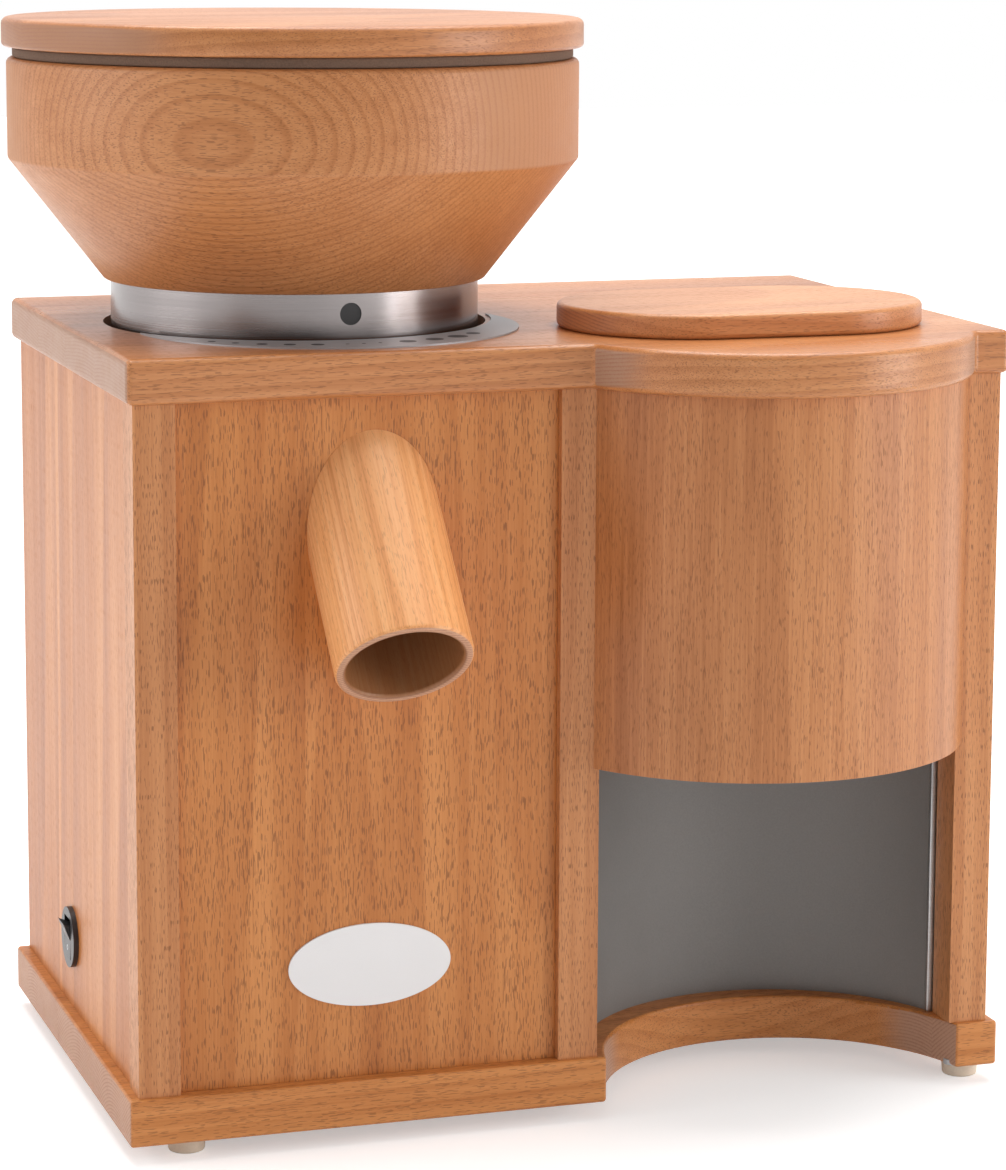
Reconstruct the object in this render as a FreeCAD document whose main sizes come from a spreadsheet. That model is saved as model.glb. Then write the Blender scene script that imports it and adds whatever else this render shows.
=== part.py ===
import FreeCAD, Part
import math
import os

import Sketcher

# Electric grain mill with a stone mill on the left and a flaking mill on the right.
# Housing coordinates: X from the left edge of the top plate, Y from its front edge
# towards the back, Z up from the surface that the feet stand on. Every piece is drawn
# in them or about its own axis, and its Placement moves it to the model's origin,
# which is below the middle of the whole machine.

doc = FreeCAD.newDocument("grain_mill")
sheet = doc.addObject("Spreadsheet::Sheet", "sizes")
pieces = []


class Size:
    """A number together with the spreadsheet formula that gives it."""

    def __init__(self, value, formula):
        self.value = float(value)
        self.formula = formula

    def __add__(self, other):
        other = as_size(other)
        return Size(self.value + other.value, f"({self.formula} + {other.formula})")

    def __sub__(self, other):
        other = as_size(other)
        return Size(self.value - other.value, f"({self.formula} - {other.formula})")

    def __mul__(self, other):
        other = as_size(other)
        return Size(self.value * other.value, f"({self.formula} * {other.formula})")

    def __truediv__(self, other):
        other = as_size(other)
        return Size(self.value / other.value, f"({self.formula} / {other.formula})")

    def __radd__(self, other):
        return as_size(other) + self

    def __rsub__(self, other):
        return as_size(other) - self

    def __rmul__(self, other):
        return as_size(other) * self

    def __rtruediv__(self, other):
        return as_size(other) / self

    def __neg__(self):
        return as_size(0) - self


def as_size(number):
    if isinstance(number, Size):
        return number
    return Size(number, repr(float(number)))


def sine(degrees):
    degrees = as_size(degrees)
    return Size(math.sin(math.radians(degrees.value)), f"sin({degrees.formula} * 1 deg)")


def cosine(degrees):
    degrees = as_size(degrees)
    return Size(math.cos(math.radians(degrees.value)), f"cos({degrees.formula} * 1 deg)")


row_number = 0


def size(name, value, note):
    """Put one driving dimension on the sheet and give back its Size."""
    global row_number
    row_number += 1
    sheet.set(f"A{row_number}", name)
    sheet.set(f"B{row_number}", str(value))
    sheet.set(f"C{row_number}", note)
    sheet.setAlias(f"B{row_number}", name)
    return Size(value, f"sizes.{name}")


# Housing
width = size("width", 330, "left to right over the top plate")
depth = size("depth", 210, "front edge to back edge of the top plate")
foot_height = size("foot_height", 6.6, "rubber foot below the base")
foot_radius = size("foot_radius", 7, "rubber foot")
foot_inset = size("foot_inset", 22, "left feet from the left edge")
foot_right = size("foot_right", 7.5, "right feet from the right edge")
foot_front = size("foot_front", 14, "feet from the front and back edges")
base_thick = size("base_thick", 16.9, "base board")
base_over = size("base_over", 1.2, "base board wider than the top board, each side")
base_round = size("base_round", 1.3, "rounded edges of the base board")
wall_height = size("wall_height", 245.5, "posts and panels")
top_thick = size("top_thick", 16, "top board")
inset = size("inset", 2.5, "body behind the edges of the top and base boards")
post = size("post", 15, "square corner posts")
post_screw = size("post_screw", 4, "screws from the front and left faces of the posts")
mid_post_x = size("mid_post_x", 157.5, "left face of the middle post")
panel = size("panel", 10, "front, side and back panels")
recess = size("recess", 3.5, "panels behind the faces of the posts")
side_recess = size("side_recess", 0.8, "side panels behind the faces of the posts")
edge_round = size("edge_round", 2.5, "rounded edges of the boards")
sheet_steel = size("sheet_steel", 1.2, "bent sheet steel")
gap = size("gap", 0.3, "clearance between pieces that only stand near each other")
running = size("running", 0.08, "radial running clearance of turning pieces")
fit = size("fit", 0.1, "clearance of pieces that slide on each other")

# Front of the flaker bay
bulge_deep = size("bulge_deep", 47.5, "rounded front of the top board before its straight edge")
bulge_lap = size("bulge_lap", 3.75, "that rounding over the posts on each side")
bulge_shift = size("bulge_shift", 0.5, "rounding left of the bay's middle")
cover_deep = size("cover_deep", 43, "curved cover before the faces of the posts")
cover_lap = size("cover_lap", 2.13, "ends of the curved cover behind the posts")
cover_thick = size("cover_thick", 5, "bent wood cover")
cover_bottom = size("cover_bottom", 131, "lower edge of the curved cover above the table")
cove_deep = size("cove_deep", 57, "round cut in the base for the bowl")
cove_lap = size("cove_lap", 0.4, "posts beside that cut")
cove_shift = size("cove_shift", 2.5, "cut right of the bay's middle")
shield_deep = size("shield_deep", 47.7, "curved sheet behind the bowl")
shield_lap = size("shield_lap", 0.83, "ends of that sheet beside the posts")
shield_back = size("shield_back", 2, "front edges of that sheet behind the posts")
batten = size("batten", 6, "battens behind the ends of the curved cover")
ceiling_back = size("ceiling_back", 34, "bay ceiling behind the middle of the rollers")

# Hopper
hopper_x = size("hopper_x", 87, "hopper and stone axis")
hopper_y = size("hopper_y", 104.7, "hopper and stone axis")
hole_radius = size("hole_radius", 71, "hole in the top board for the collar")
collar_radius = size("collar_radius", 68.1, "steel collar")
collar_wall = size("collar_wall", 3, "steel collar")
collar_flange = size("collar_flange", 2.5, "flange of the collar below the bowl")
collar_rise = size("collar_rise", 16.5, "collar above the top board")
collar_lift = size("collar_lift", 1.3, "underside of the collar above the mount plate")
spigot_radius = size("spigot_radius", 64, "collar spigot in the mount plate")
spigot_wall = size("spigot_wall", 4, "collar spigot")
spigot_drop = size("spigot_drop", 4, "collar spigot below the mount plate")
clip_thick = size("clip_thick", 1.8, "spring clip round the spigot")
clip_deep = size("clip_deep", 2, "groove for the clip")
bowl_foot = size("bowl_foot", 70.6, "lower radius of the bowl")
bowl_radius = size("bowl_radius", 105.2, "upper radius of the bowl")
bowl_cone = size("bowl_cone", 44.5, "height of the bowl's cone")
bowl_side = size("bowl_side", 36.5, "height of the bowl's straight side")
bowl_wall = size("bowl_wall", 9, "wood of the bowl")
bowl_throat = size("bowl_throat", 30, "hole in the bottom of the bowl")
bowl_floor = size("bowl_floor", 12, "wood round that hole")
seal_back = size("seal_back", 2.2, "seal behind the outside of the bowl")
seal_wide = size("seal_wide", 14, "seal below the lid")
seal_thick = size("seal_thick", 4, "seal below the lid")
lid_over = size("lid_over", 1.65, "hopper lid over the outside of the bowl")
lid_thick = size("lid_thick", 10.5, "hopper lid")
lid_plug = size("lid_plug", 8, "depth of the lid's plug in the bowl")
dot_radius = size("dot_radius", 4, "pointer in the collar")
dot_rise = size("dot_rise", 9.2, "pointer above the top board")
dot_sunk = size("dot_sunk", 0.6, "pointer below the face of the collar")
dot_turn = size("dot_turn", 2.2, "pointer right of the front, degrees")

# Stone mill
mount_thick = size("mount_thick", 3, "steel mount plate below the top board")
mount_edge = size("mount_edge", 18, "mount plate's left edge")
chamber_wall = size("chamber_wall", 2.5, "cast milling chamber")
chamber_clear = size("chamber_clear", 2.5, "chamber outside the collar spigot")
chamber_deep = size("chamber_deep", 35, "depth of the milling chamber")
chamber_floor = size("chamber_floor", 5, "floor of the milling chamber")
stone_radius = size("stone_radius", 42.5, "milling stones")
stone_thick = size("stone_thick", 12, "milling stones")
stone_gap = size("stone_gap", 0.6, "gap between the stones at rest")
stone_eye = size("stone_eye", 13, "hole in the upper stone")
stone_dish = size("stone_dish", 1.5, "depth of the dish in the middle of each stone")
dish_wide = size("dish_wide", 12, "slope of that dish")
nut_corner = size("nut_corner", 9.2, "nut of the lower stone, across its corners, half")
nut_high = size("nut_high", 5.5, "nut of the lower stone")
shaft_end = size("shaft_end", 6, "end of the shaft above the lower stone")
carrier_high = size("carrier_high", 16, "upper stone carrier")
carrier_plate = size("carrier_plate", 3.5, "steel plate below the lower stone")
carrier_wall = size("carrier_wall", 3, "rim of the upper stone carrier")
carrier_floor = size("carrier_floor", 2.5, "floor of the upper stone carrier")
key_circle = size("key_circle", 51, "guide pins on this radius")
key_radius = size("key_radius", 3, "guide pins")
key_long = size("key_long", 9, "guide pins inside the carrier")
shaft_radius = size("shaft_radius", 7.5, "motor shaft")
motor_radius = size("motor_radius", 59, "motor casing")
motor_wall = size("motor_wall", 3, "motor casing")
motor_long = size("motor_long", 118, "motor casing")
motor_bolts = size("motor_bolts", 30, "circle of the screws that hold the motor")
air_circle = size("air_circle", 30, "circle of the air holes in the base board")
air_radius = size("air_radius", 7, "air holes in the base board")
shield_plate = size("shield_plate", 6, "motor end shields")
shield_over = size("shield_over", 2, "motor end shields outside the casing")
bearing_seat = size("bearing_seat", 4, "wall round the ball bearings")
rotor_radius = size("rotor_radius", 32, "motor rotor")
air_gap = size("air_gap", 0.5, "between rotor and stator")
core_long = size("core_long", 74, "iron of the motor")
winding_high = size("winding_high", 12, "winding heads")
winding_clear = size("winding_clear", 4.5, "winding heads inside the casing and outside the rotor")
bearing_radius = size("bearing_radius", 17.5, "ball bearings")
bearing_wide = size("bearing_wide", 11, "ball bearings")
fan_radius = size("fan_radius", 48, "cooling fan")
fan_high = size("fan_high", 12, "cooling fan")
fan_sheet = size("fan_sheet", 2, "blades and rim of the fan")
fan_clear = size("fan_clear", 3, "fan below the motor")
fan_blades = size("fan_blades", 9, "cooling fan")

# Spout
spout_x = size("spout_x", 89.5, "spout centre on the front panel")
spout_z = size("spout_z", 220.8, "spout centre on the front panel")
spout_angle = size("spout_angle", 47, "spout below the horizontal, degrees")
spout_radius = size("spout_radius", 24.5, "outside of the spout")
spout_bore = size("spout_bore", 20.6, "inside of the spout")
spout_long = size("spout_long", 55.6, "from the panel face to the mouth along the axis")

# Badge, scale and switch
badge_long = size("badge_long", 60, "oval plate")
badge_high = size("badge_high", 30, "oval plate")
badge_thick = size("badge_thick", 0.8, "oval plate")
badge_z = size("badge_z", 64.5, "oval plate's centre")
scale_thick = size("scale_thick", 0.6, "scale plate")
scale_radius = size("scale_radius", 70.9, "outer edge of the scale plate")
scale_clear = size("scale_clear", 2, "scale plate outside the hole in the top board")
scale_shift_x = size("scale_shift_x", 4.9, "outer edge's centre to the right")
scale_shift_y = size("scale_shift_y", 25.5, "outer edge's centre to the front")
switch_y = size("switch_y", 120, "switch centre on the left side")
switch_z = size("switch_z", 51, "switch centre on the left side")
switch_radius = size("switch_radius", 11.5, "switch bezel")
switch_hole = size("switch_hole", 10, "hole for the switch")
bezel_thick = size("bezel_thick", 2, "switch bezel")
rocker_wide = size("rocker_wide", 10, "rocker along the wall")
rocker_high = size("rocker_high", 15, "rocker up and down")
rocker_tilt = size("rocker_tilt", 10, "rocker's tilt at rest, degrees")
pin_radius = size("pin_radius", 1, "rocker's pivot pin")

# Flaking mill
flap_long = size("flap_long", 138, "flaker lid, left to right")
flap_deep = size("flap_deep", 92, "flaker lid, front to back")
flap_thick = size("flap_thick", 9, "flaker lid")
flap_y = size("flap_y", 46, "flaker lid's centre")
flap_shift = size("flap_shift", 1, "flaker lid's centre left of the bay's middle")
flap_plug = size("flap_plug", 6, "depth of the lid's plug in the filling opening")
plug_play = size("plug_play", 1.5, "that plug inside the opening, all round")
chute_long = size("chute_long", 104, "filling opening, left to right")
chute_deep = size("chute_deep", 50, "filling opening, front to back")
funnel_throat = size("funnel_throat", 30, "lower mouth of the filling funnel")
funnel_wall = size("funnel_wall", 1.5, "filling funnel and flake guide")
roller_radius = size("roller_radius", 22, "flaking rollers")
roller_gap = size("roller_gap", 0.5, "between the rollers")
roller_long = size("roller_long", 56, "flaking rollers")
roller_z = size("roller_z", 199, "roller axes")
roller_shaft = size("roller_shaft", 6, "roller shafts")
bush_radius = size("bush_radius", 9, "bearing bushes")
frame_plate = size("frame_plate", 6, "roller frame plates")
frame_drop = size("frame_drop", 32, "roller frame plates below the roller axes")
frame_edge = size("frame_edge", 8, "roller frame plates outside the rollers")
gear_teeth = size("gear_teeth", 22, "roller gears")
gear_wide = size("gear_wide", 8, "roller gears")
case_wall = size("case_wall", 3, "cover of the gears")
case_high = size("case_high", 28, "cover of the gears above and below the roller axes")
gearbox_long = size("gearbox_long", 26, "flaker gearbox")
drive_radius = size("drive_radius", 27, "flaker motor")
drive_long = size("drive_long", 46, "flaker motor")
guide_mouth = size("guide_mouth", 40, "opening that the flakes fall through")
ceiling_rise = size("ceiling_rise", 4, "bay ceiling above the lower edge of the curved cover")
ceiling_thick = size("ceiling_thick", 6, "bay ceiling")

# Fasteners, terminal box and cable gland
screw_radius = size("screw_radius", 2, "screws")
screw_head = size("screw_head", 3.8, "screw heads")
screw_long = size("screw_long", 12, "screws in wood")
bowl_screw_long = size("bowl_screw_long", 7.7, "screws between the collar and the bowl")
screw_edge = size("screw_edge", 8, "screws from the edges of the mount plate")
head_high = size("head_high", 2, "screw heads")
gland_x = size("gland_x", 40, "cable gland in the back panel")
gland_z = size("gland_z", 53, "cable gland in the back panel")
gland_radius = size("gland_radius", 6, "cable gland's stem")
gland_bore = size("gland_bore", 3.6, "cable gland's bore")
gland_flange = size("gland_flange", 9.5, "cable gland's nut and head")
gland_nut_high = size("gland_nut_high", 4, "cable gland's nut")
gland_head = size("gland_head", 8, "cable gland outside the back panel")
terminal_long = size("terminal_long", 40, "terminal box, left to right")
terminal_deep = size("terminal_deep", 25, "terminal box, front to back")
terminal_high = size("terminal_high", 22, "terminal box")
capacitor_radius = size("capacitor_radius", 17, "run capacitor")
capacitor_high = size("capacitor_high", 62, "run capacitor")
capacitor_rim = size("capacitor_rim", 2, "sloping rim of the capacitor")
vent_long = size("vent_long", 70, "air slots in the back panel")
vent_high = size("vent_high", 4, "air slots")
vent_pitch = size("vent_pitch", 10, "air slots")
vent_count = size("vent_count", 7, "air slots")
vent_z = size("vent_z", 113, "lowest air slot")

# Places worked out from the sizes
half = 0.5
base_top = foot_height + base_thick
wall_top = base_top + wall_height
table_top = wall_top + top_thick
body_left = inset
body_right = width - inset
body_back = depth - inset
mid_post_right = mid_post_x + post
panel_left_x = inset + post
bay_right = width - inset - post
bay_half = (bay_right - mid_post_right) * half
bay_x = mid_post_right + bay_half
flap_x = bay_x - flap_shift
post_back = inset + post
panel_face = inset + recess
switch_face = body_left + side_recess
rear_inner = body_back - recess - panel
spare = 5
panel_back = panel_face + panel
mount_under = wall_top - mount_thick
chamber_inner = spigot_radius + chamber_clear
chamber_outer = chamber_inner + chamber_wall
chamber_bottom = mount_under - chamber_deep
chamber_inside = chamber_bottom + chamber_floor
collar_foot = wall_top + collar_lift
collar_top = table_top + collar_rise
bowl_bottom = collar_top
bowl_shoulder = bowl_bottom + bowl_cone
bowl_top = bowl_shoulder + bowl_side
lid_under = bowl_top + seal_thick
lid_top = lid_under + lid_thick
lid_radius = bowl_radius + lid_over
seal_radius = bowl_radius - seal_back
origin_x = (hopper_x - lid_radius + width + base_over) * half
mouth_round = (spout_radius - spout_bore) * 0.4
mouth_front = (panel_face - (spout_long - mouth_round) * cosine(spout_angle)
               - (spout_radius - mouth_round) * sine(spout_angle) - mouth_round)
origin_y = (mouth_front + hopper_y + lid_radius) * half
roller_pitch = 2 * roller_radius + roller_gap
frame_front = flap_y - roller_long * half - frame_plate - gap
frame_rear = flap_y + roller_long * half + gap


def arc_radius(reach, deep):
    """The radius of an arc from half its chord and its depth."""
    return (reach * reach + deep * deep) / (2 * deep)


bulge_radius = arc_radius(bay_half + bulge_lap, bulge_deep)
bulge_y = bulge_radius - bulge_deep
cover_radius = arc_radius(bay_half + cover_lap, cover_deep)
cover_y = inset - cover_deep + cover_radius
cove_radius = arc_radius(bay_half - cove_lap, cove_deep)
cove_y = cove_deep - cove_radius
shield_front = post_back + shield_back
shield_radius = arc_radius(bay_half - shield_lap, shield_deep)
shield_y = shield_front + shield_deep - shield_radius


def bind(item, path, value):
    """Bind one property to the sheet, or set it where it is a plain number."""
    if isinstance(value, Size):
        item.setExpression(path, value.formula)
    else:
        item.setExpression(path, repr(float(value)))


def plane_of(body, role):
    for feature in body.Origin.OriginFeatures:
        if feature.Role == role:
            return feature
    raise ValueError(role)


def new_sketch(body, role, height=None):
    """A sketch on one of the body's own origin planes, raised along its normal."""
    sketch = body.newObject("Sketcher::SketchObject", f"{body.Name}_sketch")
    sketch.AttachmentSupport = (plane_of(body, role), [""])
    sketch.MapMode = "FlatFace"
    if height is not None:
        bind(sketch, "AttachmentOffset.Base.z", height)
    return sketch


def hold_point(sketch, geometry, end, x, y):
    """Fix one end of a line, or a centre, at x and y."""
    for kind, number in (("DistanceX", as_size(x)), ("DistanceY", as_size(y))):
        index = sketch.addConstraint(
            Sketcher.Constraint(kind, -1, 1, geometry, end, number.value)
        )
        sketch.setExpression(f"Constraints[{index}]", number.formula)


def draw_outline(sketch, corners):
    """Draw a closed outline of straight edges through the corners."""
    first = sketch.GeometryCount
    count = len(corners)
    points = [FreeCAD.Vector(as_size(x).value, as_size(y).value, 0) for x, y in corners]
    for i in range(count):
        sketch.addGeometry(Part.LineSegment(points[i], points[(i + 1) % count]), False)
    for i in range(count):
        following = first + (i + 1) % count
        sketch.addConstraint(Sketcher.Constraint("Coincident", first + i, 2, following, 1))
    for i, (x, y) in enumerate(corners):
        hold_point(sketch, first + i, 1, x, y)


def draw_box(sketch, x0, y0, x1, y1):
    draw_outline(sketch, [(x0, y0), (x1, y0), (x1, y1), (x0, y1)])


def draw_circle(sketch, x, y, radius):
    centre = FreeCAD.Vector(as_size(x).value, as_size(y).value, 0)
    circle = Part.Circle(centre, FreeCAD.Vector(0, 0, 1), radius.value)
    index = sketch.addGeometry(circle, False)
    hold_point(sketch, index, 3, x, y)
    held = sketch.addConstraint(Sketcher.Constraint("Radius", index, radius.value))
    sketch.setExpression(f"Constraints[{held}]", radius.formula)


def draw_ring_slot(sketch, x, y, long, deep):
    """A slot with round ends, long in X, deep in Y, about its centre."""
    reach = (long - deep) * half
    radius = deep * half
    first = sketch.GeometryCount
    cx, cy, r, dx = as_size(x).value, as_size(y).value, radius.value, reach.value
    low, high = cy - r, cy + r
    lines = (((cx - dx, low), (cx + dx, low)), ((cx + dx, high), (cx - dx, high)))
    for start, end in lines:
        sketch.addGeometry(Part.LineSegment(FreeCAD.Vector(*start, 0), FreeCAD.Vector(*end, 0)), False)
    for side, turn in ((dx, -math.pi / 2), (-dx, math.pi / 2)):
        circle = Part.Circle(FreeCAD.Vector(cx + side, cy, 0), FreeCAD.Vector(0, 0, 1), r)
        sketch.addGeometry(Part.ArcOfCircle(circle, turn, turn + math.pi), False)
    for a, a_end, b, b_end in ((0, 2, 2, 1), (2, 2, 1, 1), (1, 2, 3, 1), (3, 2, 0, 1)):
        sketch.addConstraint(Sketcher.Constraint("Tangent", first + a, a_end, first + b, b_end))
    hold_point(sketch, first + 2, 3, x + reach, y)
    hold_point(sketch, first + 3, 3, x - reach, y)
    held = sketch.addConstraint(Sketcher.Constraint("Radius", first + 2, r))
    sketch.setExpression(f"Constraints[{held}]", radius.formula)
    sketch.addConstraint(Sketcher.Constraint("Equal", first + 2, first + 3))


def place(item, x=0, y=0, z=0):
    """Move a piece from housing coordinates to the model's origin."""
    bind(item, "Placement.Base.x", x - origin_x)
    bind(item, "Placement.Base.y", y - origin_y)
    bind(item, "Placement.Base.z", as_size(z))


def set_base(item, x, y, z):
    """Place an item that becomes part of another one, still in housing coordinates."""
    bind(item, "Placement.Base.x", as_size(x))
    bind(item, "Placement.Base.y", as_size(y))
    bind(item, "Placement.Base.z", as_size(z))


def new_body(name, x=0, y=0, z=0, grouped=False):
    """A body that is a piece of its own, or one that joins a group later."""
    body = doc.addObject("PartDesign::Body", name)
    body.Label = name
    if grouped:
        set_base(body, x, y, z)
    else:
        place(body, x, y, z)
        pieces.append(body)
    return body


def pad(body, sketch, length, reverse=False):
    feature = body.newObject("PartDesign::Pad", f"{body.Name}_pad")
    feature.Profile = sketch
    bind(feature, "Length", length)
    feature.Reversed = reverse
    doc.recompute()
    return feature


def pocket(body, sketch, length=None, reverse=False):
    """Cut a sketch out of the body, right through where no length is given."""
    before = body.Shape.Volume
    feature = body.newObject("PartDesign::Pocket", f"{body.Name}_pocket")
    feature.Profile = sketch
    if length is None:
        feature.Type = 1
        feature.Midplane = True
    else:
        bind(feature, "Length", length)
        feature.Reversed = reverse
    doc.recompute()
    if not body.Shape.Volume < before:
        raise ValueError(f"a pocket of {body.Label} cuts nothing")
    return feature


def revolve(body, corners, cut=False):
    """Turn an outline of radius and height about the body's own Z axis."""
    sketch = new_sketch(body, "XZ_Plane")
    draw_outline(sketch, corners)
    kind = "PartDesign::Groove" if cut else "PartDesign::Revolution"
    feature = body.newObject(kind, f"{body.Name}_turned")
    feature.Profile = sketch
    feature.ReferenceAxis = (sketch, ["V_Axis"])
    feature.Angle = 360
    doc.recompute()
    return feature


def round_edges(body, radius, chosen, kind="PartDesign::Fillet"):
    """Round the edges of the body's last feature that the test chooses."""
    tip = body.Tip
    names = [f"Edge{i + 1}" for i, edge in enumerate(tip.Shape.Edges) if chosen(edge)]
    if not names:
        raise ValueError(f"no edge of {body.Label} to round")
    feature = body.newObject(kind, f"{body.Name}_rounded")
    feature.Base = (tip, names)
    bind(feature, "Size" if kind.endswith("Chamfer") else "Radius", radius)
    doc.recompute()
    return feature


def ring_at(radius, height):
    """A test for a full circle of this radius at this height about the Z axis."""
    def chosen(edge):
        curve = edge.Curve
        if not isinstance(curve, Part.Circle):
            return False
        off_axis = math.hypot(curve.Center.x, curve.Center.y)
        near = abs(curve.Radius - radius.value) < 0.01 and off_axis < 0.01
        return near and abs(curve.Center.z - height.value) < 0.01
    return chosen


def board(name, x0, y0, z0, x1, y1, z1, grouped=False):
    """A plain board between two corners in housing coordinates."""
    body = new_body(name, grouped=grouped)
    sketch = new_sketch(body, "XY_Plane", z0)
    draw_box(sketch, x0, y0, x1, y1)
    pad(body, sketch, as_size(z1) - z0)
    return body


def primitive(kind, name, **sizes):
    """A Part primitive whose named sizes and place are bound to the sheet."""
    item = doc.addObject(kind, name)
    for key, value in sizes.items():
        if key in ("x", "y", "z"):
            bind(item, f"Placement.Base.{key}", value)
        elif key != "turn":
            bind(item, key, value)
    if "turn" in sizes:
        axis, degrees = sizes["turn"]
        bind(item, "Placement.Rotation.Angle", degrees)
        bind(item, "Placement.Rotation.Axis.x", axis[0])
        bind(item, "Placement.Rotation.Axis.y", axis[1])
        bind(item, "Placement.Rotation.Axis.z", axis[2])
    return item


def box_item(name, x0, y0, z0, x1, y1, z1):
    return primitive("Part::Box", name, Length=as_size(x1) - x0, Width=as_size(y1) - y0,
                     Height=as_size(z1) - z0, x=as_size(x0), y=as_size(y0), z=as_size(z0))


def rod_item(name, x, y, z, radius, height, turn=None):
    if turn is None:
        return primitive("Part::Cylinder", name, Radius=radius, Height=as_size(height), x=x, y=y, z=z)
    return primitive("Part::Cylinder", name, Radius=radius, Height=as_size(height), x=x, y=y, z=z, turn=turn)


def joined(kind, name, first, second):
    """A Cut of two items, or a Fuse or Common of a list of them."""
    item = doc.addObject(kind, name)
    if kind == "Part::Cut":
        item.Base = first
        item.Tool = second
    else:
        item.Shapes = [first, second] if not isinstance(first, list) else first
    return item


def cut(name, first, second):
    return joined("Part::Cut", name, first, second)


def fuse(name, items):
    return joined("Part::MultiFuse", name, items, None)


def common(name, items):
    return joined("Part::MultiCommon", name, items, None)


def finish_item(item, name):
    """Give a boolean result its node's name and its place."""
    item.Label = name
    place(item)
    pieces.append(item)
    doc.recompute()
    return item


def group(name, items):
    """Several separate solids of one kind in one node."""
    item = doc.addObject("Part::Compound", name)
    item.Links = items
    return finish_item(item, name)


# Boards of the housing
def outer_edge(low, high):
    """A test for the outline edges of a board at two heights and its upright corners."""
    def chosen(edge):
        box = edge.BoundBox
        level = box.ZMax - box.ZMin < 0.01
        at_face = min(abs(box.ZMin - low.value), abs(box.ZMin - high.value)) < 0.01
        straight = isinstance(edge.Curve, Part.Line)
        return at_face if level else straight
    return chosen


base = new_body("base_board")
sketch = new_sketch(base, "XY_Plane", foot_height)
draw_box(sketch, -base_over, 0, width + base_over, depth)
pad(base, sketch, base_thick)
sketch = new_sketch(base, "XY_Plane", foot_height)
draw_circle(sketch, bay_x + cove_shift, cove_y, cove_radius)
pocket(base, sketch)
round_edges(base, base_round, outer_edge(foot_height, base_top))

post_spots = {
    "post_left_front": (body_left, inset),
    "post_middle": (mid_post_x, inset),
    "post_right_front": (bay_right, inset),
    "post_left_rear": (switch_face + panel, rear_inner - post),
    "post_right_rear": (body_right - side_recess - panel - post, rear_inner - post),
}
post_holes = [(x + post_screw, y + post_screw) for x, y in post_spots.values()]
foot_spots = [(x, y) for x in (foot_inset, width - foot_right) for y in (foot_front, depth - foot_front)]
peg_radius = foot_radius * half

holes = new_sketch(base, "XY_Plane", foot_height)
for x, y in post_holes:
    draw_circle(holes, x, y, screw_radius)
air_holes = 8
for step in range(air_holes):
    turn = 360 / air_holes * step
    draw_circle(holes, hopper_x + air_circle * cosine(turn), hopper_y + air_circle * sine(turn), air_radius)
pocket(base, holes)
holes = new_sketch(base, "XY_Plane", foot_height)
for x, y in post_holes:
    draw_circle(holes, x, y, screw_head)
pocket(base, holes, head_high, reverse=True)
holes = new_sketch(base, "XY_Plane", foot_height)
for x, y in foot_spots:
    draw_circle(holes, x, y, peg_radius)
pocket(base, holes, base_thick * half, reverse=True)

top = new_body("top_board")
sketch = new_sketch(top, "XY_Plane", wall_top)
draw_box(sketch, 0, 0, width, depth)
pad(top, sketch, top_thick)
sketch = new_sketch(top, "XY_Plane", wall_top)
draw_circle(sketch, bay_x - bulge_shift, bulge_y, bulge_radius)
pad(top, sketch, top_thick)
round_edges(top, edge_round, outer_edge(wall_top, table_top))
sketch = new_sketch(top, "XY_Plane", wall_top)
draw_circle(sketch, hopper_x, hopper_y, hole_radius)
pocket(top, sketch)
sketch = new_sketch(top, "XY_Plane", wall_top)
draw_ring_slot(sketch, flap_x, flap_y, chute_long, chute_deep)
pocket(top, sketch)

posts = []
for name, (x, y) in post_spots.items():
    body = board(name, x, y, base_top, x + post, y + post, wall_top, grouped=True)
    hole = new_sketch(body, "XY_Plane", base_top)
    draw_circle(hole, x + post_screw, y + post_screw, screw_radius)
    pocket(body, hole, screw_long, reverse=True)
    posts.append(body)
group("posts", posts)

board("panel_right", body_right - side_recess - panel, post_back, base_top,
      body_right - side_recess, body_back, wall_top)
divider_left = mid_post_x + (post - panel) * half
board("divider", divider_left, post_back, base_top, divider_left + panel, rear_inner, wall_top)

# Side panel with the hole for the round switch
side_slab = box_item("side_slab", switch_face, post_back, base_top, switch_face + panel, body_back, wall_top)
switch_bore = rod_item("switch_bore", switch_face - spare, switch_y, switch_z, switch_hole,
                       panel + 2 * spare, ((0, 1, 0), 90))
finish_item(cut("side_cut", side_slab, switch_bore), "panel_left")

# Back panel with air slots and the hole for the cable gland
back = new_body("panel_back")
sketch = new_sketch(back, "XZ_Plane", -(body_back - recess))
draw_box(sketch, switch_face + panel, base_top, body_right - side_recess - panel, wall_top)
pad(back, sketch, panel)
sketch = new_sketch(back, "XZ_Plane", -(body_back - recess))
draw_circle(sketch, gland_x, gland_z, gland_radius)
pocket(back, sketch)
slot = new_sketch(back, "XZ_Plane", -(body_back - recess))
draw_box(slot, hopper_x - vent_long * half, vent_z, hopper_x + vent_long * half, vent_z + vent_high)
slot_cut = pocket(back, slot)
pattern = back.newObject("PartDesign::LinearPattern", "air_slots")
pattern.Originals = [slot_cut]
pattern.Direction = (slot, ["V_Axis"])
bind(pattern, "Length", vent_pitch * (vent_count - 1))
bind(pattern, "Occurrences", vent_count)
back.Tip = pattern
doc.recompute()

# Front panel and the turned spout that passes through it
spout_back = 60
tilt = 90 + spout_angle
spout_start_y = panel_face + spout_back * cosine(spout_angle)
spout_start_z = spout_z + spout_back * sine(spout_angle)


def spout_rod(name, radius, length):
    """A rod along the spout's axis, starting inside the housing."""
    return rod_item(name, spout_x, spout_start_y, spout_start_z, radius, length, ((1, 0, 0), tilt))


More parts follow.
